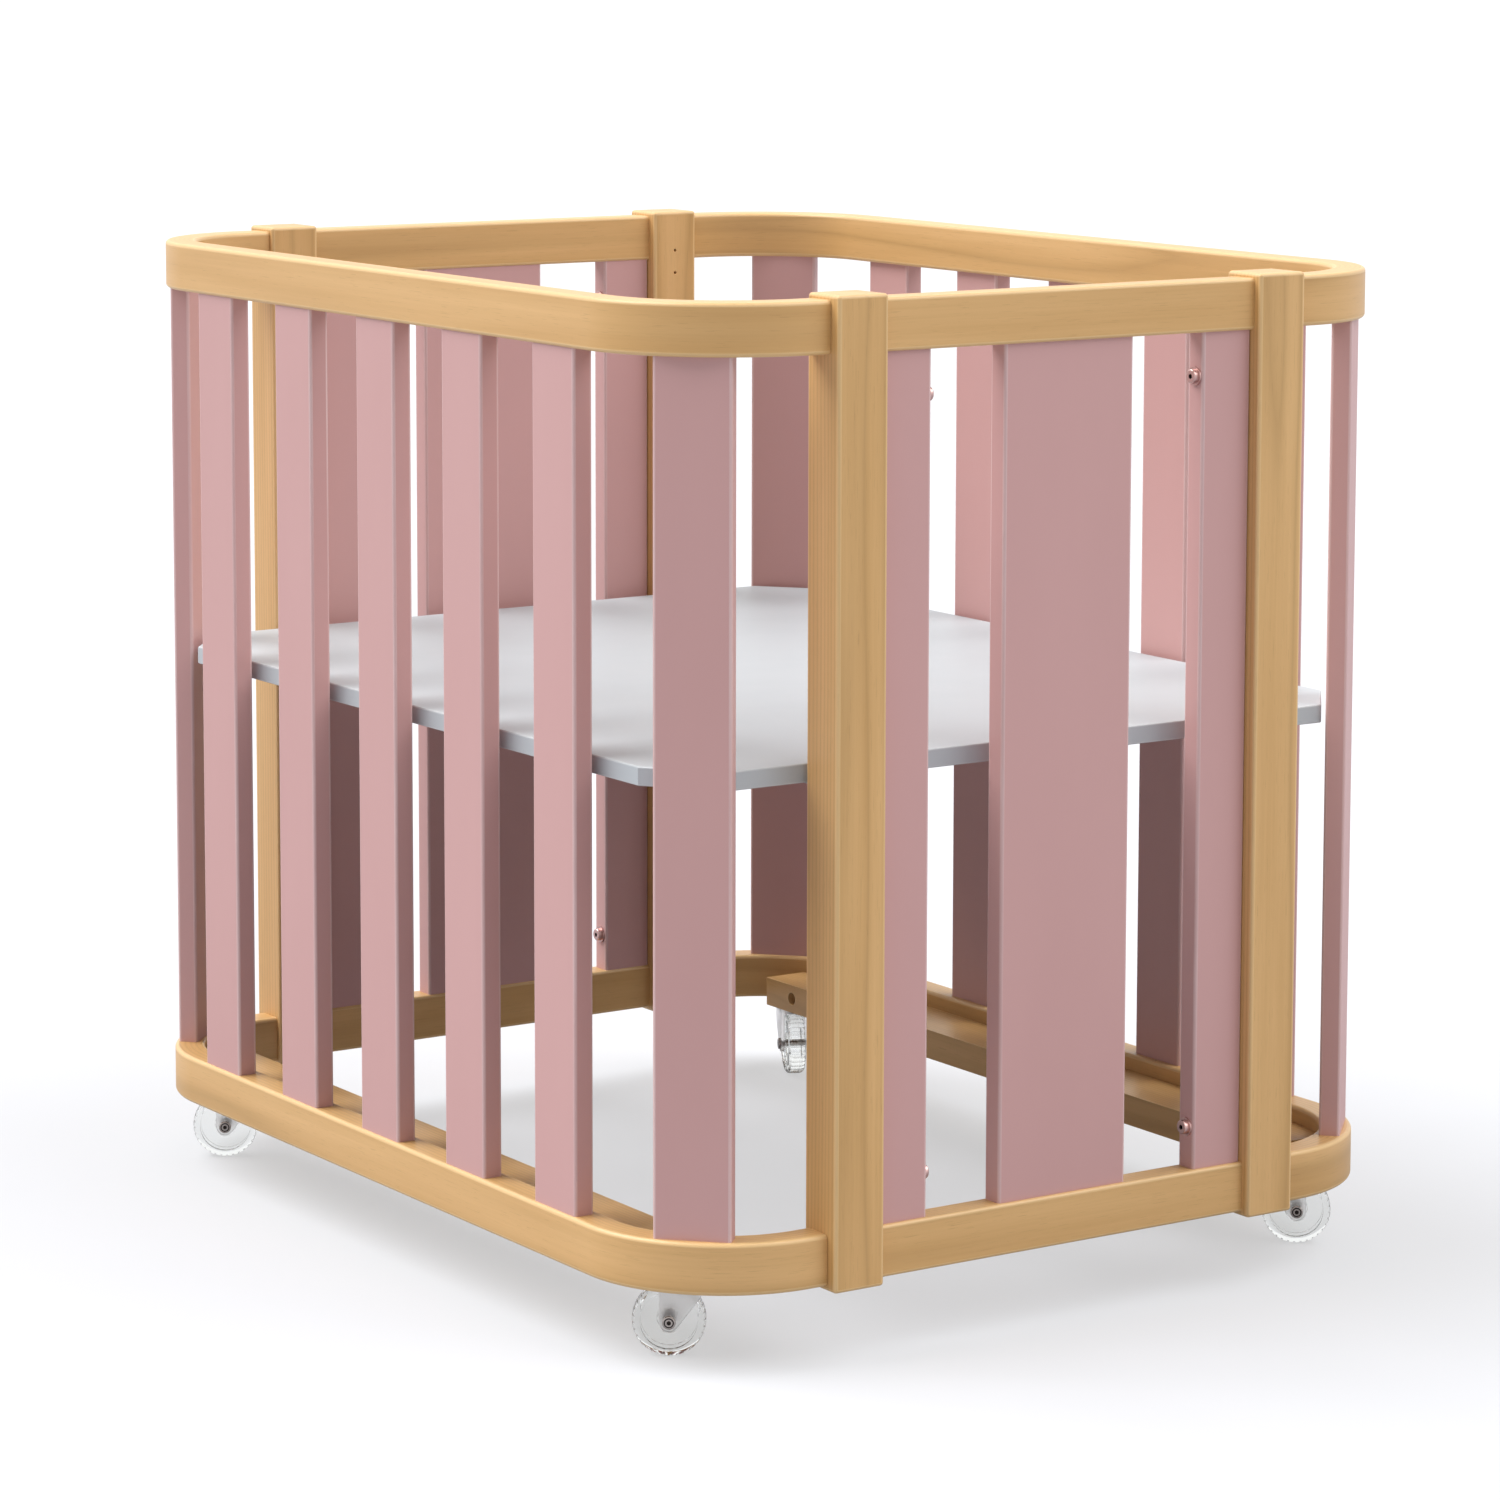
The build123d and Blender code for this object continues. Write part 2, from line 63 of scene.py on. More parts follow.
ACROSS = 0.1  # Share of its direction under which an edge runs across an axis.
OVERSHOOT = 1 * MM  # How far a cutter reaches past the face it opens.
SHARP = 40.0  # Degrees above which an edge stays sharp.
FINELY_SHARP = 30.0  # The same for the board and the screw heads.
NodeTree = bpy.types.NodeTree
Node = bpy.types.Node
Socket = bpy.types.NodeSocket
Object = bpy.types.Object
Material = bpy.types.Material
Triple = tuple[float, float, float]
Colour = Triple
Test = Callable[[Vector, Vector], bool]


# --- selecting and editing ----------------------------------------------------


class Element(Enum):
    """What an edit selects."""

    VERTEX = 0
    EDGE = 1
    FACE = 2


class Axis(Enum):
    """Which way a length of wood runs, with the two directions across it."""

    X = (0, 2, 1)
    Y = (1, 2, 0)
    Z = (2, 0, 1)


def deselect_all() -> None:
    """Leaves nothing selected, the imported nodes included."""
    if bpy.context.object is not None and bpy.context.object.mode != "OBJECT":
        bpy.ops.object.mode_set(mode="OBJECT")
    bpy.ops.object.select_all(action="DESELECT")


def make_active(piece: Object) -> None:
    """Selects one piece alone."""
    deselect_all()
    piece.select_set(True)
    bpy.context.view_layer.objects.active = piece


@contextmanager
def editing(piece: Object, element: Element) -> Iterator[None]:
    """Opens a piece in edit mode and closes it again.

    Args:
        piece: The mesh to edit.
        element: The kind of element that operators work on.
    """
    make_active(piece)
    bpy.context.tool_settings.mesh_select_mode = [element is each for each in Element]
    bpy.ops.object.mode_set(mode="EDIT")
    yield
    bpy.ops.object.mode_set(mode="OBJECT")


def pick(piece: Object, element: Element, wanted: Test) -> int:
    """Selects elements of a mesh by where they are and which way they lie.

    Args:
        piece: The mesh whose selection is set.
        element: The kind of element tested.
        wanted: Takes an element's middle and its normal, or an edge's direction.

    Returns:
        How many elements are now selected.
    """
    mesh = piece.data
    points = [vertex.co.copy() for vertex in mesh.vertices]
    for group in (mesh.vertices, mesh.edges, mesh.polygons):
        group.foreach_set("select", [False] * len(group))
    count = 0
    if element is Element.VERTEX:
        for vertex in mesh.vertices:
            vertex.select = wanted(vertex.co, vertex.normal)
            count += vertex.select
    elif element is Element.EDGE:
        for edge in mesh.edges:
            start, end = (points[index] for index in edge.vertices)
            edge.select = wanted((start + end) / 2, (end - start).normalized())
            count += edge.select
    else:
        for face in mesh.polygons:
            face.select = wanted(face.center, face.normal)
            count += face.select
    return count


def settle(piece: Object) -> None:
    """Moves a piece's place, turn and size into its mesh."""
    make_active(piece)
    bpy.ops.object.transform_apply(location=True, rotation=True, scale=True)


def add_block(name: str, low: Vector, high: Vector) -> Object:
    """Adds a block to be shaped further.

    Args:
        name: The piece's name.
        low: Its lowest corner.
        high: Its highest corner.

    Returns:
        The block.
    """
    deselect_all()
    bpy.ops.mesh.primitive_cube_add(size=1.0, location=(low + high) / 2)
    piece = bpy.context.object
    piece.scale = high - low
    piece.name = piece.data.name = name
    settle(piece)
    return piece


def add_rod(name: str, start: Vector, end: Vector, radius: float, sides: int = 48) -> Object:
    """Adds a rod between two points, to be shaped further.

    Args:
        name: The piece's name.
        start: Middle of one end.
        end: Middle of the other end.
        radius: The rod's radius.
        sides: How many sides its round has.

    Returns:
        The rod.
    """
    deselect_all()
    along = end - start
    bpy.ops.mesh.primitive_cylinder_add(
        vertices=sides, radius=radius, depth=along.length, location=(start + end) / 2
    )
    piece = bpy.context.object
    piece.rotation_euler = along.to_track_quat("Z", "Y").to_euler()
    piece.name = piece.data.name = name
    settle(piece)
    return piece


def runs_along(axis: int) -> Test:
    """Returns a test for edges along an axis: 0 for X, 1 for Y, 2 for Z."""
    return lambda place, way: abs(way[axis]) > ALONG


def runs_across(axis: int) -> Test:
    """Returns a test for edges across an axis, numbered in the same way."""
    return lambda place, way: abs(way[axis]) < ACROSS


def round_edges(piece: Object, wanted: Test, width: float, steps: int = 4) -> None:
    """Rounds the edges that a test picks.

    Args:
        piece: The mesh to round.
        wanted: Takes an edge's middle and direction.
        width: How far the rounding reaches from the edge.
        steps: How many faces the rounding has.
    """
    if not pick(piece, Element.EDGE, wanted):
        raise ValueError(f"no edge of {piece.name} was picked for rounding")
    with editing(piece, Element.EDGE):
        bpy.ops.mesh.bevel(offset=width, segments=steps, profile=0.5, affect="EDGES")


def slice_off(piece: Object, point: Vector, outward: Vector) -> None:
    """Cuts away what lies beyond a plane and closes the cut.

    Args:
        piece: The mesh to cut.
        point: A point on the plane.
        outward: The plane's normal, towards the side that goes.
    """
    pick(piece, Element.VERTEX, lambda place, normal: True)
    with editing(piece, Element.VERTEX):
        bpy.ops.mesh.select_all(action="SELECT")
        bpy.ops.mesh.bisect(
            plane_co=point, plane_no=outward, use_fill=True, clear_outer=True, clear_inner=False
        )


def cut_with(piece: Object, cutter: Object) -> None:
    """Cuts one piece's shape out of another, then removes the cutter.

    Args:
        piece: The mesh that is cut.
        cutter: The mesh that is taken out of it.
    """
    make_active(piece)
    modifier = piece.modifiers.new("cut", "BOOLEAN")
    modifier.operation = "DIFFERENCE"
    modifier.solver = "EXACT"
    modifier.object = cutter
    bpy.ops.object.modifier_apply(modifier=modifier.name)
    bpy.data.objects.remove(cutter, do_unlink=True)


def join_pieces(pieces: list[Object], name: str) -> Object:
    """Joins meshes into one piece.

    Args:
        pieces: The meshes, the first of which takes in the others.
        name: The joined piece's name.

    Returns:
        The joined piece.
    """
    make_active(pieces[0])
    for each in pieces[1:]:
        each.select_set(True)
    bpy.ops.object.join()
    joined = bpy.context.object
    joined.name = joined.data.name = name
    return joined


def copy_placed(pattern: Object, name: str, place: Matrix) -> Object:
    """Copies a piece, with a mesh of its own, to another place.

    Args:
        pattern: The piece that is copied.
        name: The copy's name.
        place: Where the copy goes, from the pattern's own place.

    Returns:
        The copy, with its place in its mesh.
    """
    piece = pattern.copy()
    piece.data = pattern.data.copy()
    bpy.context.scene.collection.objects.link(piece)
    piece.name = piece.data.name = name
    piece.matrix_world = place
    settle(piece)
    return piece


def smooth(piece: Object, degrees: float = SHARP) -> None:
    """Shades a piece smooth over its roundings and flat over its faces.

    Args:
        piece: The mesh to shade.
        degrees: The angle above which an edge stays sharp.
    """
    with editing(piece, Element.FACE):
        bpy.ops.mesh.select_all(action="SELECT")
        bpy.ops.mesh.normals_make_consistent(inside=False)
    make_active(piece)
    bpy.ops.object.shade_smooth_by_angle(angle=math.radians(degrees))
    modifier = piece.modifiers.new("even", "WEIGHTED_NORMAL")
    modifier.keep_sharp = True
    bpy.ops.object.modifier_apply(modifier=modifier.name)


def soften(piece: Object, width: float) -> None:
    """Breaks the sharp edges of a finished shape.

    Args:
        piece: The piece.
        width: Width of the softening.
    """
    make_active(piece)
    modifier = piece.modifiers.new("soften", "BEVEL")
    modifier.width = width
    modifier.segments = 2
    modifier.limit_method = "ANGLE"
    modifier.angle_limit = math.radians(SHARP)
    bpy.ops.object.modifier_apply(modifier=modifier.name)
    smooth(piece)


# --- shader groups ------------------------------------------------------------


@dataclass
class GroupBuilder:
    """Builds one shared shader group.

    Attributes:
        name: The group's name.
        tree: The group's node tree.
    """

    name: str
    tree: NodeTree = field(init=False)

    def __post_init__(self) -> None:
        """Makes the empty group."""
        self.tree = bpy.data.node_groups.new(self.name, "ShaderNodeTree")
        self.start = self.tree.nodes.new("NodeGroupInput")
        self.end = self.tree.nodes.new("NodeGroupOutput")

    def socket(self, name: str, way: str, kind: str) -> None:
        """Adds one named input or output.

        Args:
            name: The socket's name.
            way: INPUT or OUTPUT.
            kind: Float or Vector.
        """
        self.tree.interface.new_socket(
            name=name, in_out=way, socket_type=f"NodeSocket{kind}"
        )

    def node(self, kind: str, **settings: object) -> Node:
        """Adds a node of a kind and sets its options."""
        return add_node(self.tree, kind, **settings)

    def join(self, source: Socket, target: Socket) -> None:
        """Links two sockets."""
        self.tree.links.new(source, target)


def add_node(tree: NodeTree, kind: str, **settings: object) -> Node:
    """Adds a shader node.

    Args:
        tree: The tree it goes in.
        kind: Its type, without the ShaderNode prefix.
        settings: Options set on it by name.

    Returns:
        The node.
    """
    made = tree.nodes.new(f"ShaderNode{kind}")
    for option, value in settings.items():
        setattr(made, option, value)
    return made


def scaled(builder: GroupBuilder, source: Socket, scale: Triple) -> Socket:
    """Stretches a pattern's coordinates.

    Args:
        builder: The group being built.
        source: The coordinates.
        scale: Factor along each direction.

    Returns:
        The stretched coordinates.
    """
    mapping = builder.node("Mapping")
    mapping.inputs["Scale"].default_value = scale
    builder.join(source, mapping.inputs["Vector"])
    return mapping.outputs["Vector"]


def noise(
    builder: GroupBuilder, source: Socket, scale: Triple, detail: float, rough: float = 0.5
) -> Socket:
    """Adds a noise pattern.

    Args:
        builder: The group being built.
        source: The coordinates in metres, the first along the grain.
        scale: Cells per metre along each direction.
        detail: How many finer layers it has.
        rough: How strong the finer layers are.

    Returns:
        The pattern's value.
    """
    made = builder.node("TexNoise")
    made.inputs["Scale"].default_value = 1.0
    made.inputs["Detail"].default_value = detail
    made.inputs["Roughness"].default_value = rough
    builder.join(scaled(builder, source, scale), made.inputs["Vector"])
    return made.outputs["Fac"]


def combine(
    builder: GroupBuilder,
    operation: str,
    first: Socket,
    second: Socket | float,
    third: Socket | None = None,
) -> Socket:
    """Works one value out of two or three others.

    Args:
        builder: The group being built.
        operation: ADD, MULTIPLY and so on.
        first: The first value.
        second: The second value, a socket or a number.
        third: What MULTIPLY_ADD adds.

    Returns:
        The result.
    """
    made = builder.node("Math", operation=operation)
    builder.join(first, made.inputs[0])
    if isinstance(second, (int, float)):
        made.inputs[1].default_value = second
    else:
        builder.join(second, made.inputs[1])
    if third is not None:
        builder.join(third, made.inputs[2])
    return made.outputs[0]


@dataclass(frozen=True)
class GrainPattern:
    """The grain shared by all bare wood.

    Noise is sized in cells per metre along, across and through the wood.

    Attributes:
        drift: Size of the rings' slow drift.
        drift_depth: How far the rings drift, in metres.
        crowding: Size of the change in how close the rings are.
        crowding_depth: How many rings that change adds.
        late_power: How narrow the dark part of a ring is.
        fine: Size of the fine streaks.
        fine_share: Their share of the streaks.
        broad: Size of the broad streaks.
        broad_share: Their share of the streaks.
        pores: Size of the pores.
        pore_limit: Noise above which there is a pore.
        fine_height: Share of the fine streaks in the relief.
        ring_height: Share of the rings in the relief.
    """

    drift: Triple = (1.1, 9.0, 9.0)
    drift_depth: float = 0.012
    crowding: Triple = (0.5, 26.0, 26.0)
    crowding_depth: float = 1.6
    late_power: float = 3.4
    fine: Triple = (7.0, 420.0, 420.0)
    fine_share: float = 0.22
    broad: Triple = (1.6, 34.0, 34.0)
    broad_share: float = 0.78
    pores: Triple = (45.0, 1500.0, 1500.0)
    pore_limit: float = 0.69
    fine_height: float = 0.7
    ring_height: float = 0.3

    def build(self) -> NodeTree:
        """Builds the group.

        Returns:
            A group giving ring, streak, pore and height masks from grain coordinates.
        """
        made = GroupBuilder("wood_grain")
        made.socket("Vector", "INPUT", "Vector")
        made.socket("Rings per metre", "INPUT", "Float")
        for name in ("Rings", "Streaks", "Pores", "Height"):
            made.socket(name, "OUTPUT", "Float")
        grain = made.start.outputs["Vector"]
        late = self.add_rings(made, grain)
        made.join(late, made.end.inputs["Rings"])
        fine = noise(made, grain, self.fine, 3.0, 0.6)
        broad = combine(made, "MULTIPLY", noise(made, grain, self.broad, 3.0), self.broad_share)
        streaks = combine(made, "MULTIPLY_ADD", fine, self.fine_share, broad)
        made.join(streaks, made.end.inputs["Streaks"])
        pores = noise(made, grain, self.pores, 1.0)
        made.join(combine(made, "GREATER_THAN", pores, self.pore_limit), made.end.inputs["Pores"])
        ridges = combine(made, "MULTIPLY", late, self.ring_height)
        height = combine(made, "MULTIPLY_ADD", fine, self.fine_height, ridges)
        made.join(height, made.end.inputs["Height"])
        return made.tree

    def add_rings(self, made: GroupBuilder, grain: Socket) -> Socket:
        """Adds the year rings, which lie round the trunk's middle.

        Args:
            made: The group being built.
            grain: The coordinates.

        Returns:
            A mask that is highest in the dark part of a ring.
        """
        parts = made.node("SeparateXYZ")
        made.join(grain, parts.inputs[0])
        drift = noise(made, grain, self.drift, 2.0)
        bent = combine(made, "MULTIPLY_ADD", drift, self.drift_depth, parts.outputs["Z"])
        section = made.node("CombineXYZ")
        made.join(parts.outputs["Y"], section.inputs["Y"])
        made.join(bent, section.inputs["Z"])
        reach = made.node("VectorMath", operation="LENGTH")
        made.join(section.outputs[0], reach.inputs[0])
        closeness = made.start.outputs["Rings per metre"]
        turns = combine(made, "MULTIPLY", reach.outputs["Value"], closeness)
        crowding = noise(made, grain, self.crowding, 1.0)
        crowded = combine(made, "MULTIPLY_ADD", crowding, self.crowding_depth, turns)
        half_ring = combine(made, "PINGPONG", crowded, 0.5)
        return combine(made, "POWER", combine(made, "MULTIPLY", half_ring, 2.0), self.late_power)


@dataclass(frozen=True)
class SkinPattern:
    """The fine unevenness shared by painted and moulded surfaces.

    Noise is sized in cells per metre along X, Y and Z.

    Attributes:
        tone: Size of the slow change of tone.
        peel: Size of the fine bumps.
        peel_share: Their share of the relief.
        brush: Size of the long brush marks.
        brush_share: Their share of the relief.
    """

    tone: Triple = (14.0, 14.0, 5.0)
    peel: Triple = (520.0, 520.0, 300.0)
    peel_share: float = 0.6
    brush: Triple = (260.0, 260.0, 6.0)
    brush_share: float = 0.4

    def build(self) -> NodeTree:
        """Builds the group.

        Returns:
            A group giving a slow tone mask and a fine height from coordinates in metres.
        """
        made = GroupBuilder("surface_skin")
        made.socket("Vector", "INPUT", "Vector")
        for name in ("Tone", "Height"):
            made.socket(name, "OUTPUT", "Float")
        place = made.start.outputs["Vector"]
        made.join(noise(made, place, self.tone, 3.0), made.end.inputs["Tone"])
        brush = combine(made, "MULTIPLY", noise(made, place, self.brush, 2.0), self.brush_share)
        peel = noise(made, place, self.peel, 2.0)
        height = combine(made, "MULTIPLY_ADD", peel, self.peel_share, brush)
        made.join(height, made.end.inputs["Height"])
        return made.tree


# --- finishes -----------------------------------------------------------------


@dataclass
class Surface:
    """A material being built round one Principled shader.

    Attributes:
        name: The material's name.
        coordinates: Object, or the name of a mesh attribute.
    """

    name: str
    coordinates: str = "Object"

    def __post_init__(self) -> None:
        """Makes the material and finds its shader and coordinates."""
        self.material = bpy.data.materials.new(self.name)
        self.material.use_nodes = True
        self.tree = self.material.node_tree
        self.shader = self.tree.nodes["Principled BSDF"]
        if self.coordinates == "Object":
            self.place = add_node(self.tree, "TexCoord").outputs["Object"]
        else:
            source = add_node(self.tree, "Attribute", attribute_name=self.coordinates)
            self.place = source.outputs["Vector"]

    def group(self, tree: NodeTree) -> Node:
        """Places a shared group, fed with the surface's coordinates.

        Args:
            tree: The shared group.

        Returns:
            The group node.
        """
        made = add_node(self.tree, "Group")
        made.node_tree = tree
        self.tree.links.new(self.place, made.inputs["Vector"])
        return made

    def mix(self, factor: Socket, first: object, second: object) -> Socket:
        """Mixes two colours, each a socket or a plain colour.

        Args:
            factor: How much of the second colour shows.
            first: The first colour.
            second: The second colour.

        Returns:
            The mixed colour.
        """
        made = add_node(self.tree, "Mix", data_type="RGBA")
        self.tree.links.new(factor, made.inputs["Factor"])
        for colour, target in ((first, made.inputs[6]), (second, made.inputs[7])):
            if isinstance(colour, tuple):
                target.default_value = (*colour, 1.0)
            else:
                self.tree.links.new(colour, target)
        return made.outputs[2]

    def ranged(self, value: Socket, low: float, high: float) -> Socket:
        """Spreads a value from 0 and 1 to two limits.

        Args:
            value: The value, from 0 to 1.
            low: The result at 0.
            high: The result at 1.

        Returns:
            The spread value.
        """
        made = add_node(self.tree, "MapRange")
        made.inputs["To Min"].default_value = low
        made.inputs["To Max"].default_value = high
        self.tree.links.new(value, made.inputs["Value"])
        return made.outputs["Result"]

    def add_edge_highlight(
        self, base: Socket, edge_highlight: Colour, amount: float, patches: Socket
    ) -> Socket:
        """Paints a paler highlight along the marked edges, stronger in some places than in
        others.

        Args:
            base: The colour away from the edges.
            edge_highlight: The colour of the painted edge highlight at full strength.
            amount: How far the edges go towards it.
            patches: How strong the painted highlight is at each place.

        Returns:
            The colour with its painted edge highlight.
        """
        # Painted highlight: the marked edges are lightened, standing in for light catching the
        # rounded edges.
        edge = add_node(self.tree, "Attribute", attribute_name="painted_edge_highlight")
        highlight_share = add_node(self.tree, "Math", operation="MULTIPLY")
        self.tree.links.new(edge.outputs["Fac"], highlight_share.inputs[0])
        self.tree.links.new(patches, highlight_share.inputs[1])
        return self.mix(self.ranged(highlight_share.outputs[0], 0.0, amount), base, edge_highlight)

    def bump(self, height: Socket, depth: float, strength: float) -> None:
        """Raises the surface by a height pattern.

        Args:
            height: The pattern, from 0 to 1.
            depth: The pattern's full depth in metres.
            strength: How much of it shows.
        """
        made = add_node(self.tree, "Bump")
        made.inputs["Distance"].default_value = depth
        made.inputs["Strength"].default_value = strength
        self.tree.links.new(height, made.inputs["Height"])
        self.tree.links.new(made.outputs["Normal"], self.shader.inputs["Normal"])

    def set(self, **values: object) -> None:
        """Sets plain shader values, or links sockets, by input name.

        Args:
            values: Input names with underscores for spaces.
        """
        for name, value in values.items():
            target = self.shader.inputs[name.replace("_", " ")]
            if isinstance(value, Socket):
                self.tree.links.new(value, target)
            else:
                target.default_value = value


@dataclass(frozen=True)
class WoodFinish:
    """Bare wood under a clear lacquer.

    Attributes:
        name: The material's name.
        pale: Colour between the rings.
        warm: Colour of the streaks.
        ring: Colour of a ring's dark edge.
        rings_per_metre: How close the rings are.
        ring_strength: How much the rings show.
        coordinates: Object, or the grain attribute.
        edge: Colour of the painted highlight on the rounded edges.
        edge_highlight_strength: How far the edges go towards it, the strength of that painted
            highlight.
        streak_range: What the streaks are spread to.
        pore_strength: How much the pores show.
        roughness_range: Roughness of the hollows and of the ridges.
        coat: Strength of the lacquer.
        coat_roughness: How dull the lacquer is.
        ior: Refractive index of the surface.
        depth: Depth of the relief in metres.
        relief: How much of the relief shows.
    """

    name: str
    pale: Colour
    warm: Colour
    ring: Colour
    rings_per_metre: float = 220.0
    ring_strength: float = 0.46
    coordinates: str = "grain"
    # Painted highlight colour for the rounded edges.
    edge: Colour = (0.92, 0.68, 0.36)
    edge_highlight_strength: float = 0.65
    streak_range: tuple[float, float] = (-0.9, 1.9)
    pore_strength: float = 0.35
    roughness_range: tuple[float, float] = (0.50, 0.38)
    coat: float = 0.25
    coat_roughness: float = 0.3
    ior: float = 1.45
    depth: float = 0.00012
    relief: float = 0.6

    def build(self, grain: NodeTree) -> Material:
        """Builds the material.

        Args:
            grain: The shared grain group.

        Returns:
            The finished material.
        """
        surface = Surface(self.name, self.coordinates)
        wood = surface.group(grain)
        wood.inputs["Rings per metre"].default_value = self.rings_per_metre
        streak = surface.ranged(wood.outputs["Streaks"], *self.streak_range)
        body = surface.mix(streak, self.pale, self.warm)
        rings = surface.ranged(wood.outputs["Rings"], 0.0, self.ring_strength)
        ringed = surface.mix(rings, body, self.ring)
        pores = surface.ranged(wood.outputs["Pores"], 0.0, self.pore_strength)
        bare = surface.mix(pores, ringed, self.ring)
        # The base colour carries the painted edge highlight.
        surface.set(
            Base_Color=surface.add_edge_highlight(bare, self.edge, self.edge_highlight_strength, wood.outputs["Streaks"]),
            Roughness=surface.ranged(wood.outputs["Height"], *self.roughness_range),
            Coat_Weight=self.coat,
            Coat_Roughness=self.coat_roughness,
            IOR=self.ior,
        )
        surface.bump(wood.outputs["Height"], self.depth, self.relief)
        return surface.material


@dataclass(frozen=True)
class PaintFinish:
    """Satin paint or laminate over board.

    Attributes:
        name: The material's name.
        colour: The paint's colour.
        shade: The slightly darker tone it drifts to.
        roughness: How matt it is.
        depth: Depth of its fine unevenness in metres.
        highlight_share: How far the painted edge highlight goes towards white.
        swing: How far the roughness drifts each way.
        ior: Refractive index of the paint.
        relief: How much of the unevenness shows.
    """

    name: str
    colour: Colour
    shade: Colour
    roughness: float = 0.42
    depth: float = 0.00006
    highlight_share: float = 0.3
    swing: float = 0.06
    ior: float = 1.5
    relief: float = 0.5

    def build(self, skin: NodeTree) -> Material:
        """Builds the material.

        Args:
            skin: The shared unevenness group.

        Returns:
            The finished material.
        """
        surface = Surface(self.name)
        uneven = surface.group(skin)
        tone = uneven.outputs["Tone"]
        # Painted highlight: the marked edges are lifted towards white.
        edge_highlight = tuple(share + (1.0 - share) * self.highlight_share for share in self.colour)
        matt = self.roughness
        surface.set(
            Base_Color=surface.add_edge_highlight(surface.mix(tone, self.colour, self.shade), edge_highlight, 1.0, tone),
            Roughness=surface.ranged(tone, matt - self.swing, matt + self.swing),
            IOR=self.ior,
        )
        surface.bump(uneven.outputs["Height"], self.depth, self.relief)
        return surface.material


@dataclass(frozen=True)
class MetalFinish:
    """Plated or brushed metal.

    Attributes:
        name: The material's name.
        colour: The metal's colour.
        shade: The colour where it is duller.
        roughness: How dull it is.
        painted_shade_colour: The painted shade colour in sockets and grooves.
        brighter: How much less dull the hollows are.
        duller: How much duller the ridges are.
        depth: Depth of its fine unevenness in metres.
        relief: How much of the unevenness shows.
    """

    name: str
    colour: Colour
    shade: Colour
    roughness: float = 0.3
    painted_shade_colour: Colour = (0.03, 0.025, 0.022)
    brighter: float = 0.1
    duller: float = 0.12
    depth: float = 0.00003
    relief: float = 0.4

    def build(self, skin: NodeTree) -> Material:
        """Builds the material.

        Args:
            skin: The shared unevenness group.

        Returns:
            The finished material.
        """
        surface = Surface(self.name)
        uneven = surface.group(skin)
        # Painted shade: the marked sockets and grooves are coloured near black.
        recess = add_node(surface.tree, "Attribute", attribute_name="recess")
        bright = surface.mix(uneven.outputs["Tone"], self.colour, self.shade)
        height, dull = uneven.outputs["Height"], self.roughness
        surface.set(
            Base_Color=surface.mix(recess.outputs["Fac"], bright, self.painted_shade_colour),
            Roughness=surface.ranged(height, dull - self.brighter, dull + self.duller),
            Metallic=1.0,
        )
        surface.bump(height, self.depth, self.relief)
        return surface.material


@dataclass(frozen=True)
class ClearPlasticFinish:
    """Clear moulded plastic.

    Attributes:
        name: The material's name.
        colour: The plastic's tint.
        shade: The tint where it is a little cloudy.
        roughness: How hazy it is.
        haze: How many times hazier it is where it is cloudy.
        ior: Refractive index of the plastic.
        depth: Depth of its fine unevenness in metres.
        relief: How much of the unevenness shows.
    """

    name: str
    colour: Colour
    shade: Colour
    roughness: float = 0.04
    haze: float = 2.5
    ior: float = 1.49
    depth: float = 0.00004
    relief: float = 0.25

    def build(self, skin: NodeTree) -> Material:
        """Builds the material.

        Args:
            skin: The shared unevenness group.

        Returns:
            The finished material.
        """
        surface = Surface(self.name)
        uneven = surface.group(skin)
        tone = uneven.outputs["Tone"]
        surface.set(
            Base_Color=surface.mix(tone, self.colour, self.shade),
            Roughness=surface.ranged(tone, self.roughness, self.roughness * self.haze),
            Transmission_Weight=1.0,
            IOR=self.ior,
        )
        surface.bump(uneven.outputs["Height"], self.depth, self.relief)
        return surface.material


class Finishes:
    """Every material of the playpen, built once."""

    def __init__(self) -> None:
        """Builds the shared groups and the materials."""
        grain = GrainPattern().build()
        skin = SkinPattern().build()
        pale, warm, ring = (0.73, 0.45, 0.19), (0.585, 0.335, 0.118), (0.40, 0.225, 0.07)
        self.wood = WoodFinish("lacquered_pine", pale, warm, ring).build(grain)
        self.dowel = WoodFinish(
            "beech_dowel", (0.60, 0.42, 0.26), (0.50, 0.33, 0.19), ring, 300.0, 0.3, "Object"
        ).build(grain)
        self.pink = PaintFinish(
            "pink_paint", (0.60, 0.345, 0.332), (0.565, 0.322, 0.31)
        ).build(skin)
        self.white = PaintFinish(
            "white_board", (0.47, 0.50, 0.525), (0.45, 0.48, 0.505), 0.5
        ).build(skin)
        self.steel = MetalFinish(
            "zinc_steel", (0.60, 0.60, 0.60), (0.45, 0.45, 0.44)
        ).build(skin)
        self.bolt = MetalFinish(
            "bolt_metal", (0.70, 0.48, 0.45), (0.52, 0.34, 0.32), 0.36
        ).build(skin)
        self.axle = MetalFinish(
            "axle_metal", (0.50, 0.45, 0.42), (0.36, 0.32, 0.30), 0.28
        ).build(skin)
        self.frosted = ClearPlasticFinish(
            "frosted_plastic", (0.97, 0.96, 0.96), (0.93, 0.92, 0.92), 0.22
        ).build(skin)
        self.clear = ClearPlasticFinish(
            "clear_plastic", (0.93, 0.94, 0.93), (0.86, 0.88, 0.87)
        ).build(skin)


# --- pieces -------------------------------------------------------------------


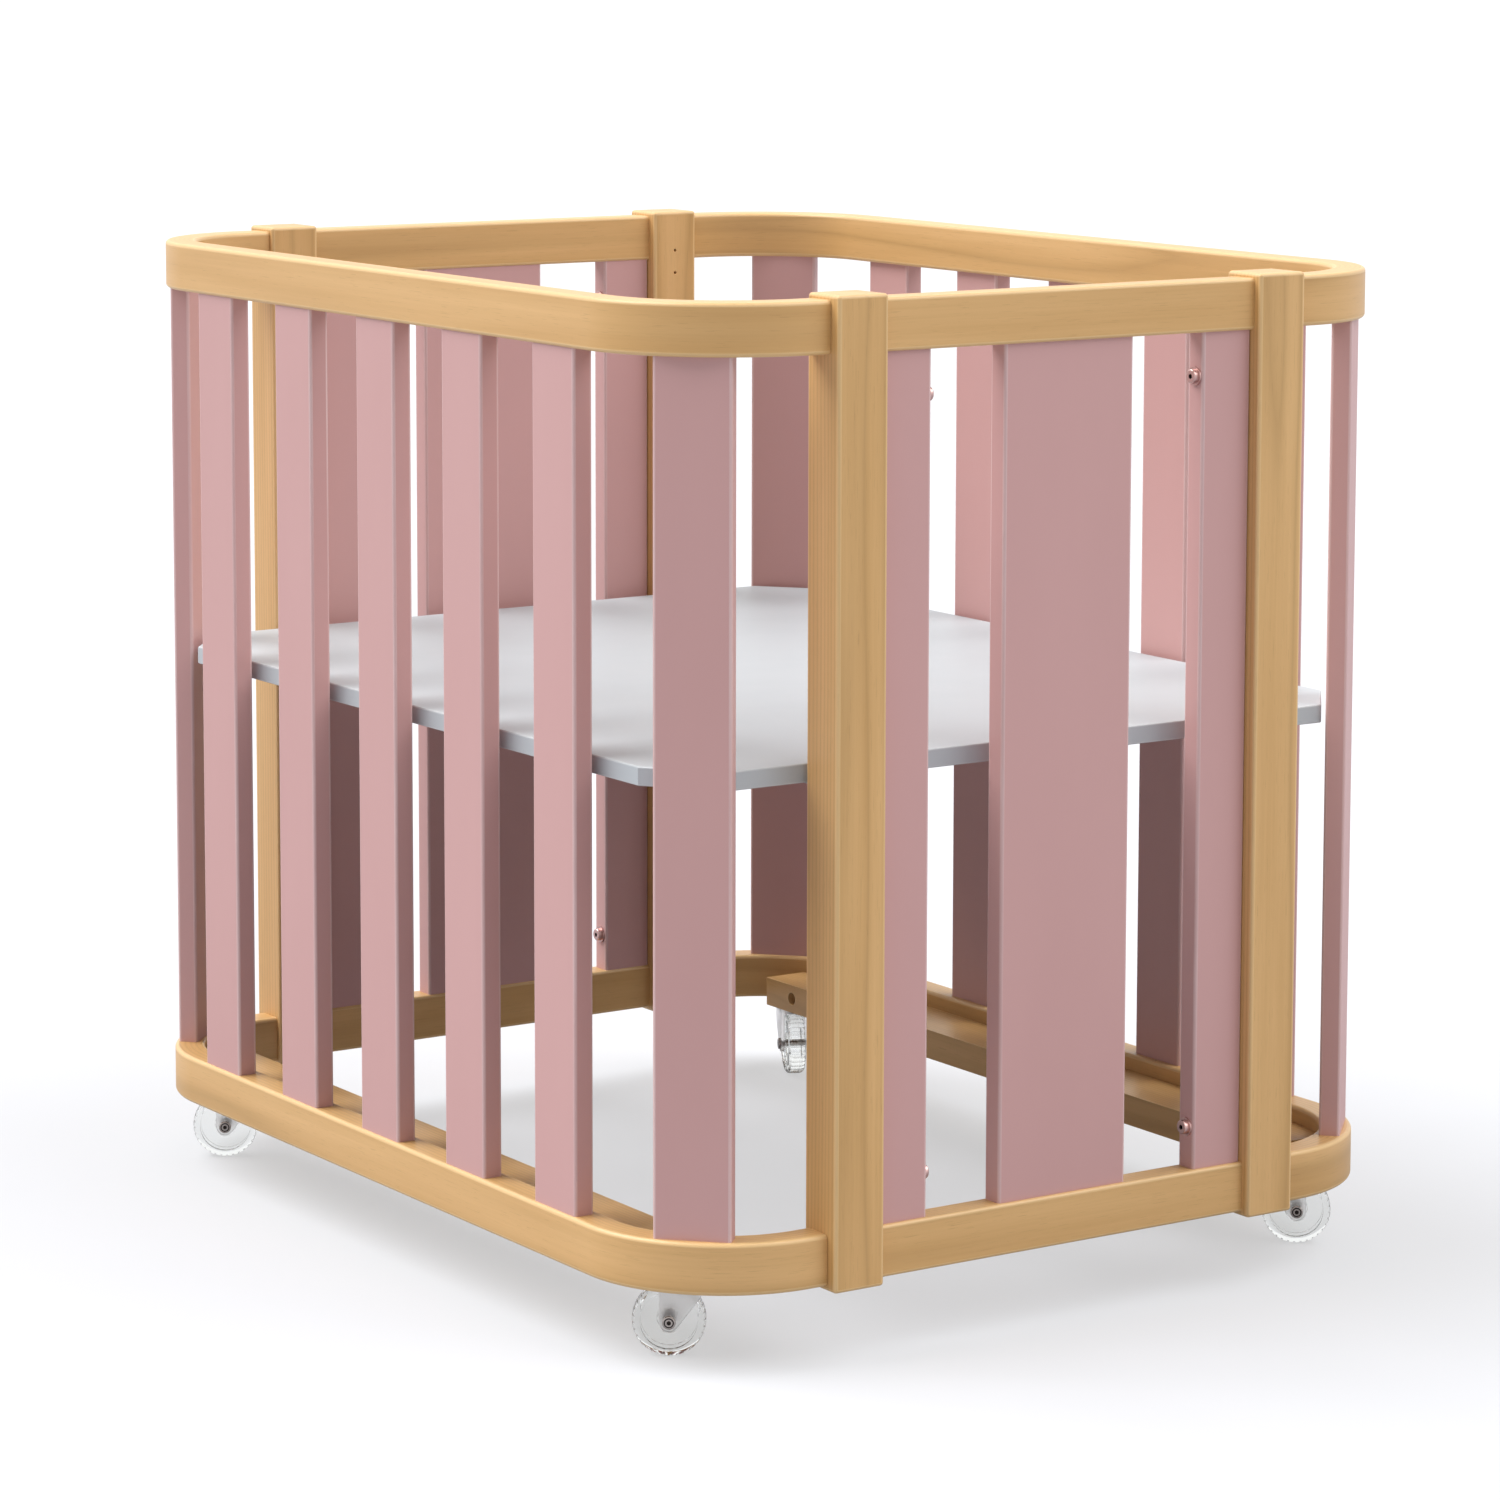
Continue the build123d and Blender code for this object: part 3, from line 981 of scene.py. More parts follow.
@dataclass
class GrainBook:
    """Gives each length of wood its own part of the tree.

    Attributes:
        draws: The seeded source of offsets.
    """

    draws: random.Random = field(default_factory=lambda: random.Random(11))

    def offset(self) -> Vector:
        """Returns how far a piece lies along and across the trunk."""
        return Vector((
            self.draws.uniform(0.0, 20.0),
            self.draws.uniform(-0.012, 0.012),
            self.draws.uniform(0.09, 0.15),
        ))

    def write(self, piece: Object, unroll: Callable[[Vector], Vector]) -> None:
        """Stores grain coordinates on a piece.

        Args:
            piece: The finished mesh.
            unroll: Takes a point to its place along, across and through the wood.
        """
        shift = self.offset()
        attribute = piece.data.attributes.new("grain", "FLOAT_VECTOR", "POINT")
        values = [value for vertex in piece.data.vertices for value in unroll(vertex.co) + shift]
        attribute.data.foreach_set("vector", values)

    def write_straight(self, piece: Object, axis: Axis) -> None:
        """Stores grain that runs straight along one axis.

        Args:
            piece: The finished mesh.
            axis: The way the wood runs.
        """
        low, high = mesh_box(piece)
        middle = (low + high) / 2
        order = axis.value

        def unroll(point: Vector) -> Vector:
            """Reorders a point so that the grain comes first."""
            return Vector([point[index] - middle[index] for index in order])

        self.write(piece, unroll)


def mesh_box(piece: Object) -> tuple[Vector, Vector]:
    """Returns a settled mesh's lowest and highest corners."""
    points = [vertex.co for vertex in piece.data.vertices]
    low = Vector([min(point[index] for point in points) for index in range(3)])
    high = Vector([max(point[index] for point in points) for index in range(3)])
    return low, high


def mark_edges(piece: Object, widest: float = 1.9 * MM) -> None:
    """Marks the narrow faces of rounded edges, which get a paler painted highlight.

    Args:
        piece: The finished piece.
        widest: Width under which a face belongs to an edge.
    """
    mesh = piece.data
    # Mask of the painted edge highlight.
    edge_highlight = mesh.attributes.new("painted_edge_highlight", "FLOAT", "FACE")
    lengths = {
        tuple(sorted(edge.vertices)): (
            mesh.vertices[edge.vertices[0]].co - mesh.vertices[edge.vertices[1]].co
        ).length
        for edge in mesh.edges
    }
    for face in mesh.polygons:
        longest = max(lengths[tuple(sorted(key))] for key in face.edge_keys)
        edge_highlight.data[face.index].value = float(face.area < widest * longest)


def dress(piece: Object, material: Material) -> None:
    """Gives a piece one material all over."""
    piece.data.materials.clear()
    piece.data.materials.append(material)


def hand_over(
    piece: Object, material: Material, node: str, body: str = "frame"
) -> None:
    """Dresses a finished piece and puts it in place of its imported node.

    Args:
        piece: The finished piece.
        material: Its material.
        node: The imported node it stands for.
        body: The body it moves with.
    """
    dress(piece, material)
    mark_edges(piece)
    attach(piece, body)
    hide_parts(node)
    log.info("%s: %d faces, rides on %s", piece.name, len(piece.data.polygons), body)


@dataclass
class EndRails:
    """The four bent rails of the two ends.

    Attributes:
        thickness: Size across the rail.
        corner: Outer radius of the bend.
        rounding: Radius of the long edges.
        bend_steps: Faces along each bend.
        tip_rounding: Softening of the two ends.
    """

    thickness: float = 28 * MM
    corner: float = 130 * MM
    rounding: float = 3.5 * MM
    bend_steps: int = 28
    tip_rounding: float = 0.6 * MM

    def build(self, finishes: Finishes, book: GrainBook) -> None:
        """Builds and dresses all four rails.

        Args:
            finishes: The materials.
            book: Where each piece gets its grain.
        """
        for side in ("left", "right"):
            for level in ("bottom", "top"):
                node = f"{side}_end_{level}_rail"
                rail = self.bend_rail(node, 1 if side == "right" else -1)
                smooth(rail)
                book.write(rail, self.unroll(rail))
                hand_over(rail, finishes.wood, node)

    def bend_rail(self, node: str, side: int) -> Object:
        """Sweeps the rounded section round one end.

        Args:
            node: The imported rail.
            side: -1 for the left end, 1 for the right.

        Returns:
            The closed rail.
        """
        low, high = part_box(node)
        arm_end = low.x if side > 0 else high.x
        outer = high.x if side > 0 else low.x
        deselect_all()
        bpy.ops.mesh.primitive_plane_add(
            size=1.0,
            location=(arm_end, low.y + self.thickness / 2, (low.z + high.z) / 2),
            rotation=(0.0, math.pi / 2, 0.0),
        )
        rail = bpy.context.object
        rail.name = rail.data.name = f"{node}_bent"
        rail.scale = (high.z - low.z, self.thickness, 1.0)
        settle(rail)
        arm = outer - side * self.corner - arm_end
        straight = high.y - low.y - 2 * self.corner
        centre_x = outer - side * self.corner
        with editing(rail, Element.VERTEX):
            bpy.ops.mesh.select_all(action="SELECT")
            bpy.ops.mesh.bevel(offset=self.rounding, segments=5, profile=0.5, affect="VERTICES")
            bpy.ops.mesh.select_all(action="SELECT")
            bpy.ops.mesh.delete(type="ONLY_FACE")
            bpy.ops.mesh.select_all(action="SELECT")
            self.pull(Vector((arm, 0.0, 0.0)))
            self.turn(Vector((centre_x, low.y + self.corner, 0.0)), side)
            self.pull(Vector((0.0, straight, 0.0)))
            self.turn(Vector((centre_x, high.y - self.corner, 0.0)), side)
            self.pull(Vector((-arm, 0.0, 0.0)))
        for sign in (-1, 1):
            pick(
                rail,
                Element.EDGE,
                lambda place, way: abs(place.x - arm_end) < TOUCHING and place.y * sign > 0
                and abs(way.x) < 0.5,
            )
            with editing(rail, Element.EDGE):
                bpy.ops.mesh.edge_face_add()
        round_edges(
            rail,
            lambda place, way: abs(place.x - arm_end) < TOUCHING,
            self.tip_rounding,
            2,
        )
        return rail

    @staticmethod
    def pull(way: Vector) -> None:
        """Draws the open section straight on."""
        bpy.ops.mesh.extrude_edges_move(TRANSFORM_OT_translate={"value": way})

    def turn(self, centre: Vector, side: int) -> None:
        """Draws the open section round a quarter turn.

        Args:
            centre: A point on the bend's upright axis.
            side: -1 for the left end, 1 for the right.
        """
        bpy.ops.mesh.spin(
            steps=self.bend_steps,
            angle=-math.pi / 2,
            center=centre,
            axis=(0.0, 0.0, float(side)),
        )

    def unroll(self, rail: Object) -> Callable[[Vector], Vector]:
        """Works out grain that follows the bend.

        Args:
            rail: The finished rail.

        Returns:
            A function from a point to its place along, across and through the wood.
        """
        low, high = mesh_box(rail)
        side = 1 if high.x > 0 and low.x > 0 else -1
        outer = high.x if side > 0 else -low.x
        middle_z = (low.z + high.z) / 2
        centre_x = outer - self.corner
        centre_y = high.y - self.corner
        centreline = self.corner - self.thickness / 2
        quarter = centreline * math.pi / 2

        def place(point: Vector) -> Vector:
            """Unrolls one point."""
            across_x = side * point.x - centre_x
            along_y = abs(point.y) - centre_y
            sign = 1 if point.y > 0 else -1
            if along_y <= 0:
                return Vector((point.y, point.z - middle_z, across_x - centreline))
            if across_x <= 0:
                reach = centre_y + quarter - across_x
                return Vector((sign * reach, point.z - middle_z, along_y - centreline))
            angle = math.atan2(along_y, across_x)
            radius = math.hypot(along_y, across_x)
            reach = centre_y + angle * centreline
            return Vector((sign * reach, point.z - middle_z, radius - centreline))

        return place


@dataclass
class StraightWood:
    """The posts and the straight rails of the side panels.

    Attributes:
        post_rounding: Rounding of the posts' edges.
        rail_rounding: Rounding of the rails' long edges.
        hole_radius: Radius of the small holes near the top of a post.
        hole_drops: How far the holes are below the post's top.
        hole_depth: How deep they go.
    """

    post_rounding: float = 3 * MM
    rail_rounding: float = 3 * MM
    hole_radius: float = 1.5 * MM
    hole_drops: tuple[float, float] = (38 * MM, 60 * MM)
    hole_depth: float = 8 * MM

    def build(self, finishes: Finishes, book: GrainBook) -> None:
        """Builds and dresses the posts and the panel rails.

        Args:
            finishes: The materials.
            book: Where each piece gets its grain.
        """
        for depth in ("front", "rear"):
            for side in ("left", "right"):
                node = f"post_{depth}_{side}"
                post = self.shape_post(node)
                smooth(post)
                book.write_straight(post, Axis.Z)
                hand_over(post, finishes.wood, node)
            for level in ("bottom", "top"):
                node = f"{depth}_panel_{level}_rail"
                rail = add_block(f"{node}_planed", *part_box(node))
                round_edges(rail, runs_along(0), self.rail_rounding)
                smooth(rail)
                book.write_straight(rail, Axis.X)
                hand_over(rail, finishes.wood, node)

    def shape_post(self, node: str) -> Object:
        """Rounds a post all over and drills its two small holes.

        Args:
            node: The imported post.

        Returns:
            The finished post.
        """
        low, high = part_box(node)
        post = add_block(f"{node}_turned", low, high)
        round_edges(post, lambda place, way: True, self.post_rounding)
        inward = -1 if low.y > 0 else 1
        face = low.y if low.y > 0 else high.y
        for drop in self.hole_drops:
            mouth = Vector(((low.x + high.x) / 2, face + inward * 2 * OVERSHOOT, high.z - drop))
            foot = mouth - Vector((0.0, inward * (self.hole_depth + 2 * OVERSHOOT), 0.0))
            cut_with(post, add_rod("drill", foot, mouth, self.hole_radius, 24))
        return post


@dataclass
class Slats:
    """Every upright pink slat and stile.

    Attributes:
        rounding: Radius of the upright edges.
        width: Width of an end slat.
        thickness: Thickness of an end slat.
        corner_turn: How far a corner slat is turned.
        end_count: How many slats an end has.
    """

    rounding: float = 2.5 * MM
    width: float = 64 * MM
    thickness: float = 18 * MM
    corner_turn: float = math.pi / 4
    end_count: int = 7

    def build(self, finishes: Finishes) -> None:
        """Builds and dresses the slats of the ends and of the panels.

        Args:
            finishes: The materials.
        """
        pattern = self.end_pattern()
        for side, sign in (("left", -1), ("right", 1)):
            for number in range(1, self.end_count + 1):
                node = f"{side}_end_slat_{number}"
                low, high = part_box(node)
                turn = {1: sign * self.corner_turn, self.end_count: -sign * self.corner_turn}
                place = Matrix.Translation((low + high) / 2) @ Matrix.Rotation(
                    turn.get(number, math.pi / 2), 4, "Z"
                )
                self.finish(copy_placed(pattern, f"{node}_painted", place), node, finishes)
        bpy.data.objects.remove(pattern, do_unlink=True)
        for depth in ("front", "rear"):
            for part in ("stile_left", "centre_slat", "stile_right"):
                node = f"{depth}_panel_{part}"
                slat = add_block(f"{node}_painted", *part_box(node))
                round_edges(slat, runs_along(2), self.rounding)
                self.finish(slat, node, finishes)

    def end_pattern(self) -> Object:
        """Shapes the slat that all end slats are copied from.

        Returns:
            The pattern, upright about the origin with its width along X.
        """
        low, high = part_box("left_end_slat_4")
        half = Vector((self.width, self.thickness, high.z - low.z)) / 2
        pattern = add_block("slat_pattern", -half, half)
        round_edges(pattern, runs_along(2), self.rounding)
        smooth(pattern)
        return pattern

    @staticmethod
    def finish(slat: Object, node: str, finishes: Finishes) -> None:
        """Smooths, paints and hands over one slat.

        Args:
            slat: The shaped slat.
            node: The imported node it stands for.
            finishes: The materials.
        """
        smooth(slat)
        hand_over(slat, finishes.pink, node)


@dataclass
class MattressBoard:
    """The white board at half height.

    Attributes:
        cut_x: How much a cut corner takes off along X.
        cut_y: How much it takes off along Y.
        rounding: Radius of the upper and lower edges.
    """

    cut_x: float = 50 * MM
    cut_y: float = 60 * MM
    rounding: float = 1.5 * MM

    def build(self, finishes: Finishes) -> None:
        """Builds and dresses the board.

        Args:
            finishes: The materials.
        """
        low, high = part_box("mattress_board")
        board = add_block("mattress_board_sawn", low, high)
        for sign_x in (-1, 1):
            for sign_y in (-1, 1):
                edge = Vector((
                    sign_x * (high.x - self.cut_x / 2), sign_y * (high.y - self.cut_y / 2), 0.0
                ))
                outward = Vector((sign_x * self.cut_y, sign_y * self.cut_x, 0.0)).normalized()
                slice_off(board, edge, outward)
        round_edges(board, runs_across(2), self.rounding, 3)
        smooth(board, FINELY_SHARP)
        hand_over(board, finishes.white, "mattress_board")


@dataclass
class CasterRails:
    """The rails inside the bottom end rails, which carry the casters.

    Attributes:
        corner: Radius of the end rail's inner bend, which the rail's ends follow.
        bend_steps: Faces along the part of the bend that an end follows.
        softening: Rounding of the edges.
        screw_y: Distance of the two screws from the middle.
        counterbore: Radius of the holes that their heads go down.
        counterbore_depth: Depth of those holes.
        flange: Radius of a caster's flange, let into the underside.
        flange_depth: Thickness of the flange.
        stem: Radius of a caster's stem.
        stem_length: Length of the stem.
    """

    corner: float = 102 * MM
    bend_steps: int = 10
    softening: float = 0.8 * MM
    screw_y: float = 355 * MM
    counterbore: float = 6 * MM
    counterbore_depth: float = 30 * MM
    flange: float = 13 * MM
    flange_depth: float = 2.5 * MM
    stem: float = 4 * MM
    stem_length: float = 18 * MM

    def build(self, finishes: Finishes, book: GrainBook) -> None:
        """Builds and dresses both rails.

        Args:
            finishes: The materials.
            book: Where each piece gets its grain.
        """
        for side, sign in (("left", -1), ("right", 1)):
            node = f"{side}_caster_rail"
            rail = add_block(f"{node}_planed", *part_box(node))
            self.trim_ends(rail, side, sign)
            self.drill(rail, node, side, sign)
            soften(rail, self.softening)
            book.write_straight(rail, Axis.Y)
            hand_over(rail, finishes.wood, node)

    def trim_ends(self, rail: Object, side: str, sign: int) -> None:
        """Cuts both outer corners to the end rail's inner bend.

        Args:
            rail: The rail's block.
            side: left or right.
            sign: The side's sign along X.
        """
        inner = abs(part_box(f"{side}_caster_rail")[0 if sign < 0 else 1].x)
        end_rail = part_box(f"{side}_end_bottom_rail")[1].y
        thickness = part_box(f"{side}_end_bottom_rail")[1 if sign > 0 else 0].x * sign - inner
        centre_y = end_rail - thickness - self.corner
        reach = math.asin((mesh_box(rail)[1].y - centre_y) / self.corner)
        step = reach / self.bend_steps
        for sign_y in (-1, 1):
            centre = Vector((sign * (inner - self.corner), sign_y * centre_y, 0.0))
            for number in range(self.bend_steps):
                angle = (number + 0.5) * step
                outward = Vector((sign * math.cos(angle), sign_y * math.sin(angle), 0.0))
                slice_off(rail, centre + outward * self.corner * math.cos(step / 2), outward)

    def drill(self, rail: Object, node: str, side: str, sign: int) -> None:
        """Drills the counterbores and the seats of the two casters.

        Args:
            rail: The trimmed rail.
            node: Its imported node.
            side: left or right.
            sign: The side's sign along X.
        """
        low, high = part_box(node)
        face = min(abs(low.x), abs(high.x))
        middle_z = (low.z + high.z) / 2
        pins = {joint["name"]: joint["pos_m"] for joint in frame["joints"]}
        for depth, sign_y in (("front", -1), ("rear", 1)):
            mouth = Vector((sign * (face - OVERSHOOT), sign_y * self.screw_y, middle_z))
            seat = Vector((sign * (face + self.counterbore_depth), mouth.y, middle_z))
            cut_with(rail, add_rod("counterbore", mouth, seat, self.counterbore))
            pin = pins[f"caster_{depth}_{side}_turn"]
            below = Vector((pin[0], pin[1], low.z - OVERSHOOT))
            for radius, rise in ((self.flange, self.flange_depth), (self.stem, self.stem_length)):
                above = Vector((pin[0], pin[1], low.z + rise))
                cut_with(rail, add_rod("seat", below, above, radius))


@dataclass
class Casters:
    """The four clear swivel casters.

    Attributes:
        wheel_width: Width of a wheel.
        rim: Width of a wheel's raised rim, seen from the side.
        tread_rounding: Rounding of the tread's two edges.
        hub: Radius of the raised hub.
        dish: Depth of the recess between hub and rim.
        bore: Radius of the hole for the axle.
        facets: Faces round a wheel, every other one a groove.
        groove: Depth of the tread's grooves.
        slot: Width of the fork's slot for the wheel.
        crown: Thickness of the fork above the wheel.
        tip: Radius of the fork's rounded tips.
        shoulder: Height at which the fork starts to narrow.
        fork_front: How far the fork reaches in front of its pin.
        fork_width: Width of the fork over both arms.
        tip_margin: How far the tips' rounding stays short of the full radius.
        slot_reach: How far the slot's cutter reaches each way.
        wheel_softening: Rounding of the wheel's small edges.
        fork_softening: Rounding of the fork's edges.
        axle: Radius of the axle.
        pin: Radius of the hole for the upright pin.
        head: Radius of the axle's heads.
        head_height: Height of the axle's heads.
        socket: Size across the flats of their sockets.
    """

    wheel_width: float = 18 * MM
    rim: float = 6.5 * MM
    tread_rounding: float = 4.5 * MM
    hub: float = 10 * MM
    dish: float = 3 * MM
    bore: float = 3.05 * MM
    facets: int = 64
    groove: float = 0.7 * MM
    slot: float = 20 * MM
    crown: float = 4.2 * MM
    tip: float = 8 * MM
    shoulder: float = 51 * MM
    fork_front: float = 14 * MM
    fork_width: float = 27 * MM
    tip_margin: float = 0.05 * MM
    slot_reach: float = 100 * MM
    wheel_softening: float = 0.25 * MM
    fork_softening: float = 0.4 * MM
    axle: float = 3 * MM
    pin: float = 4.05 * MM
    head: float = 5.5 * MM
    head_height: float = 2.2 * MM
    socket: float = 3.5 * MM

    def build(self, finishes: Finishes) -> None:
        """Models one caster about its own pin and copies it to the four corners.

        Args:
            finishes: The materials.
        """
        joints = {joint["name"]: joint for joint in frame["joints"]}
        corners = [
            name.removeprefix("caster_").removesuffix("_turn")
            for name in joints
            if name.endswith("_turn")
        ]
        turn, roll = joints[f"caster_{corners[0]}_turn"], joints[f"caster_{corners[0]}_roll"]
        self.trail = (Vector(turn["pos_m"]).xy - Vector(roll["pos_m"]).xy).length
        self.radius = roll["pos_m"][2]
        self.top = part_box(f"caster_{corners[0]}_fork")[1].z
        patterns = {
            "fork": (self.shape_fork(), "swivel", finishes.frosted, "clear_plastic"),
            "wheel": (self.shape_wheel(), "roller", finishes.clear, "clear_plastic"),
            "axle": (self.shape_axle(), "swivel", finishes.axle, "zinc_steel"),
        }
        for corner in corners:
            pin = Vector(joints[f"caster_{corner}_turn"]["pos_m"])
            axis = joints[f"caster_{corner}_roll"]["axis"]
            heading = math.atan2(-axis[0], axis[1])
            place = Matrix.Translation((pin.x, pin.y, 0.0)) @ Matrix.Rotation(heading, 4, "Z")
            for part, (pattern, body, material, slot) in patterns.items():
                piece = copy_placed(pattern, f"caster_{corner}_{part}_made", place)
                node = f"caster_{corner}_{part}"
                hand_over(piece, material, node, f"caster_{corner}_{body}")
        for pattern, *_ in patterns.values():
            bpy.data.objects.remove(pattern, do_unlink=True)

    def shape_wheel(self) -> Object:
        """Shapes the grooved wheel with a dished face on each side.

        Returns:
            The wheel, its axle along Y.
        """
        half = Vector((0.0, self.wheel_width / 2, 0.0))
        centre = Vector((-self.trail, 0.0, self.radius))
        wheel = add_rod("wheel_pattern", centre - half, centre + half, self.radius, self.facets)
        round_edges(wheel, runs_across(1), self.tread_rounding, 3)
        pick(wheel, Element.FACE, lambda place, normal: abs(normal.y) > 0.99)
        with editing(wheel, Element.FACE):
            bpy.ops.mesh.inset(thickness=self.rim - self.tread_rounding)
            self.push_faces(-self.dish)
            bpy.ops.mesh.inset(thickness=self.radius - self.rim - self.hub)
            self.push_faces(self.dish)
            bpy.ops.mesh.inset(thickness=self.hub - self.bore)
            bpy.ops.mesh.bridge_edge_loops()
        pitch = math.tau / self.facets

        def is_groove(place: Vector, normal: Vector) -> bool:
            """Tells whether a tread face is one of every other pair."""
            turn = math.atan2(place.z - centre.z, place.x - centre.x) / pitch
            reach = math.hypot(place.z - centre.z, place.x - centre.x)
            outer = reach > self.radius - self.tread_rounding
            return outer and abs(normal.y) < 0.95 and int(math.floor(turn)) % 2 == 0

        pick(wheel, Element.FACE, is_groove)
        with editing(wheel, Element.FACE):
            bpy.ops.mesh.inset(thickness=self.groove)
            self.push_faces(-self.groove)
        soften(wheel, self.wheel_softening)
        return wheel

    @staticmethod
    def push_faces(distance: float) -> None:
        """Pushes the selected faces out, or in for a negative distance."""
        bpy.ops.mesh.extrude_region_shrink_fatten(
            TRANSFORM_OT_shrink_fatten={"value": distance}
        )

    def shape_fork(self) -> Object:
        """Shapes the fork from one block, with a slot for the wheel.

        Returns:
            The fork, its pin on the Z axis.
        """
        half = self.fork_width / 2
        axle = Vector((-self.trail, 0.0, self.radius))
        low = Vector((axle.x - self.tip, -half, self.radius - self.tip))
        fork = add_block("fork_pattern", low, Vector((self.fork_front, half, self.top)))
        shoulder = Vector((self.fork_front, 0.0, self.shoulder))
        reach = shoulder - axle
        lean = math.atan2(reach.z, reach.x) - math.acos(self.tip / reach.length)
        slice_off(fork, shoulder, Vector((math.cos(lean), 0.0, math.sin(lean))))
        front_tip = self.tip * math.tan((math.pi / 2 + lean) / 2)
        for reach_x, width in ((low.x, self.tip), (axle.x + front_tip, front_tip)):
            round_edges(
                fork,
                lambda place, way: abs(way.y) > ALONG
                and abs(place.z - low.z) < TOUCHING
                and abs(place.x - reach_x) < 1 * MM,
                width - self.tip_margin,
                8,
            )
        gap = Vector((self.slot_reach, self.slot / 2, 0.0))
        roof = Vector((self.slot_reach, self.slot / 2, self.top - self.crown))
        cut_with(fork, add_block("slot_cutter", -gap, roof))
        ends = Vector((0.0, half + OVERSHOOT, 0.0))
        cut_with(fork, add_rod("axle_drill", axle - ends, axle + ends, self.axle))
        foot = Vector((0.0, 0.0, self.top - 2 * self.crown))
        cut_with(fork, add_rod("pin_drill", foot, UP * (self.top + self.crown), self.pin))
        soften(fork, self.fork_softening)
        return fork

    def shape_axle(self) -> Object:
        """Shapes the axle with a socket head at each end.

        Returns:
            The axle, along Y.
        """
        axle = Vector((-self.trail, 0.0, self.radius))
        half = Vector((0.0, self.fork_width / 2, 0.0))
        parts = [add_rod("axle_shaft", axle - half, axle + half, self.axle, 32)]
        for way in (-1, 1):
            seat = axle + way * half
            crown = seat + Vector((0.0, way * self.head_height, 0.0))
            parts.append(ScrewHead(self.head, self.socket, True).shape("axle_head", seat, crown))
        return join_pieces(parts, "axle_pattern")


@dataclass(frozen=True)
class ScrewHead:
    """A round screw head with a hexagon socket.

    Attributes:
        radius: The head's radius.
        socket: Size across the socket's flats.
        ringed: Whether a groove runs round the socket.
        socket_depth: Depth of the socket, as a share of the head's height.
        ring_depth: Depth of the groove, as a share of the height.
        ring_outer: Outer radius of the groove, as a share of the head's radius.
        ring_inner: Inner radius of the groove, as such a share.
        dark_depth: Share of the height below which a recess gets painted shade.
        dark_radius: Share of the radius within which it gets painted shade.
        crown_reach: Share of the radius within which an edge is the crown's.
        crown_height: Share of the height above which an edge is the crown's.
    """

    radius: float
    socket: float
    ringed: bool = False
    socket_depth: float = 0.55
    ring_depth: float = 0.5
    ring_outer: float = 0.76
    ring_inner: float = 0.56
    dark_depth: float = 0.1
    dark_radius: float = 0.8
    crown_reach: float = 1.01
    crown_height: float = 0.9

    def shape(self, name: str, seat: Vector, crown: Vector) -> Object:
        """Shapes the head between its seat and its crown.

        Args:
            name: The head's name.
            seat: Middle of the face it sits on.
            crown: Middle of its outer face.

        Returns:
            The head.
        """
        head = add_rod(name, seat, crown, self.radius)
        height = (crown - seat).length
        out = (crown - seat).normalized()

        def is_crown_edge(place: Vector, way: Vector) -> bool:
            """Tells whether an edge runs round the crown."""
            near = (place - crown).length < self.radius * self.crown_reach
            high = (place - seat).dot(out) > height * self.crown_height
            return near and high and abs(way.dot(out)) < ACROSS

        round_edges(head, is_crown_edge, height / 3, 3)
        past, beyond = crown + out * height, crown + out * 2 * height
        corners = self.socket / 2 / math.cos(math.pi / 6)
        foot = crown - out * height * self.socket_depth
        cut_with(head, add_rod("socket_cutter", foot, past, corners, 6))
        if self.ringed:
            foot = crown - out * height * self.ring_depth
            ring = add_rod("ring_cutter", foot, past, self.radius * self.ring_outer)
            cut_with(ring, add_rod("ring_core", seat, beyond, self.radius * self.ring_inner))
            cut_with(head, ring)
        self.darken(head, crown, out, height)
        smooth(head, FINELY_SHARP)
        return head

    def darken(self, head: Object, crown: Vector, out: Vector, height: float) -> None:
        """Marks the socket and the groove for the metal's painted shade.

        Args:
            head: The cut head.
            crown: Middle of its outer face.
            out: The way the head faces.
            height: Its height.
        """
        # Painted shade mask for the socket and the groove.
        recess = head.data.attributes.new("recess", "FLOAT", "POINT")
        for vertex in head.data.vertices:
            reach = vertex.co - crown
            depth = -reach.dot(out)
            aside = (reach + out * depth).length
            dark = depth > height * self.dark_depth and aside < self.radius * self.dark_radius
            recess.data[vertex.index].value = float(dark)


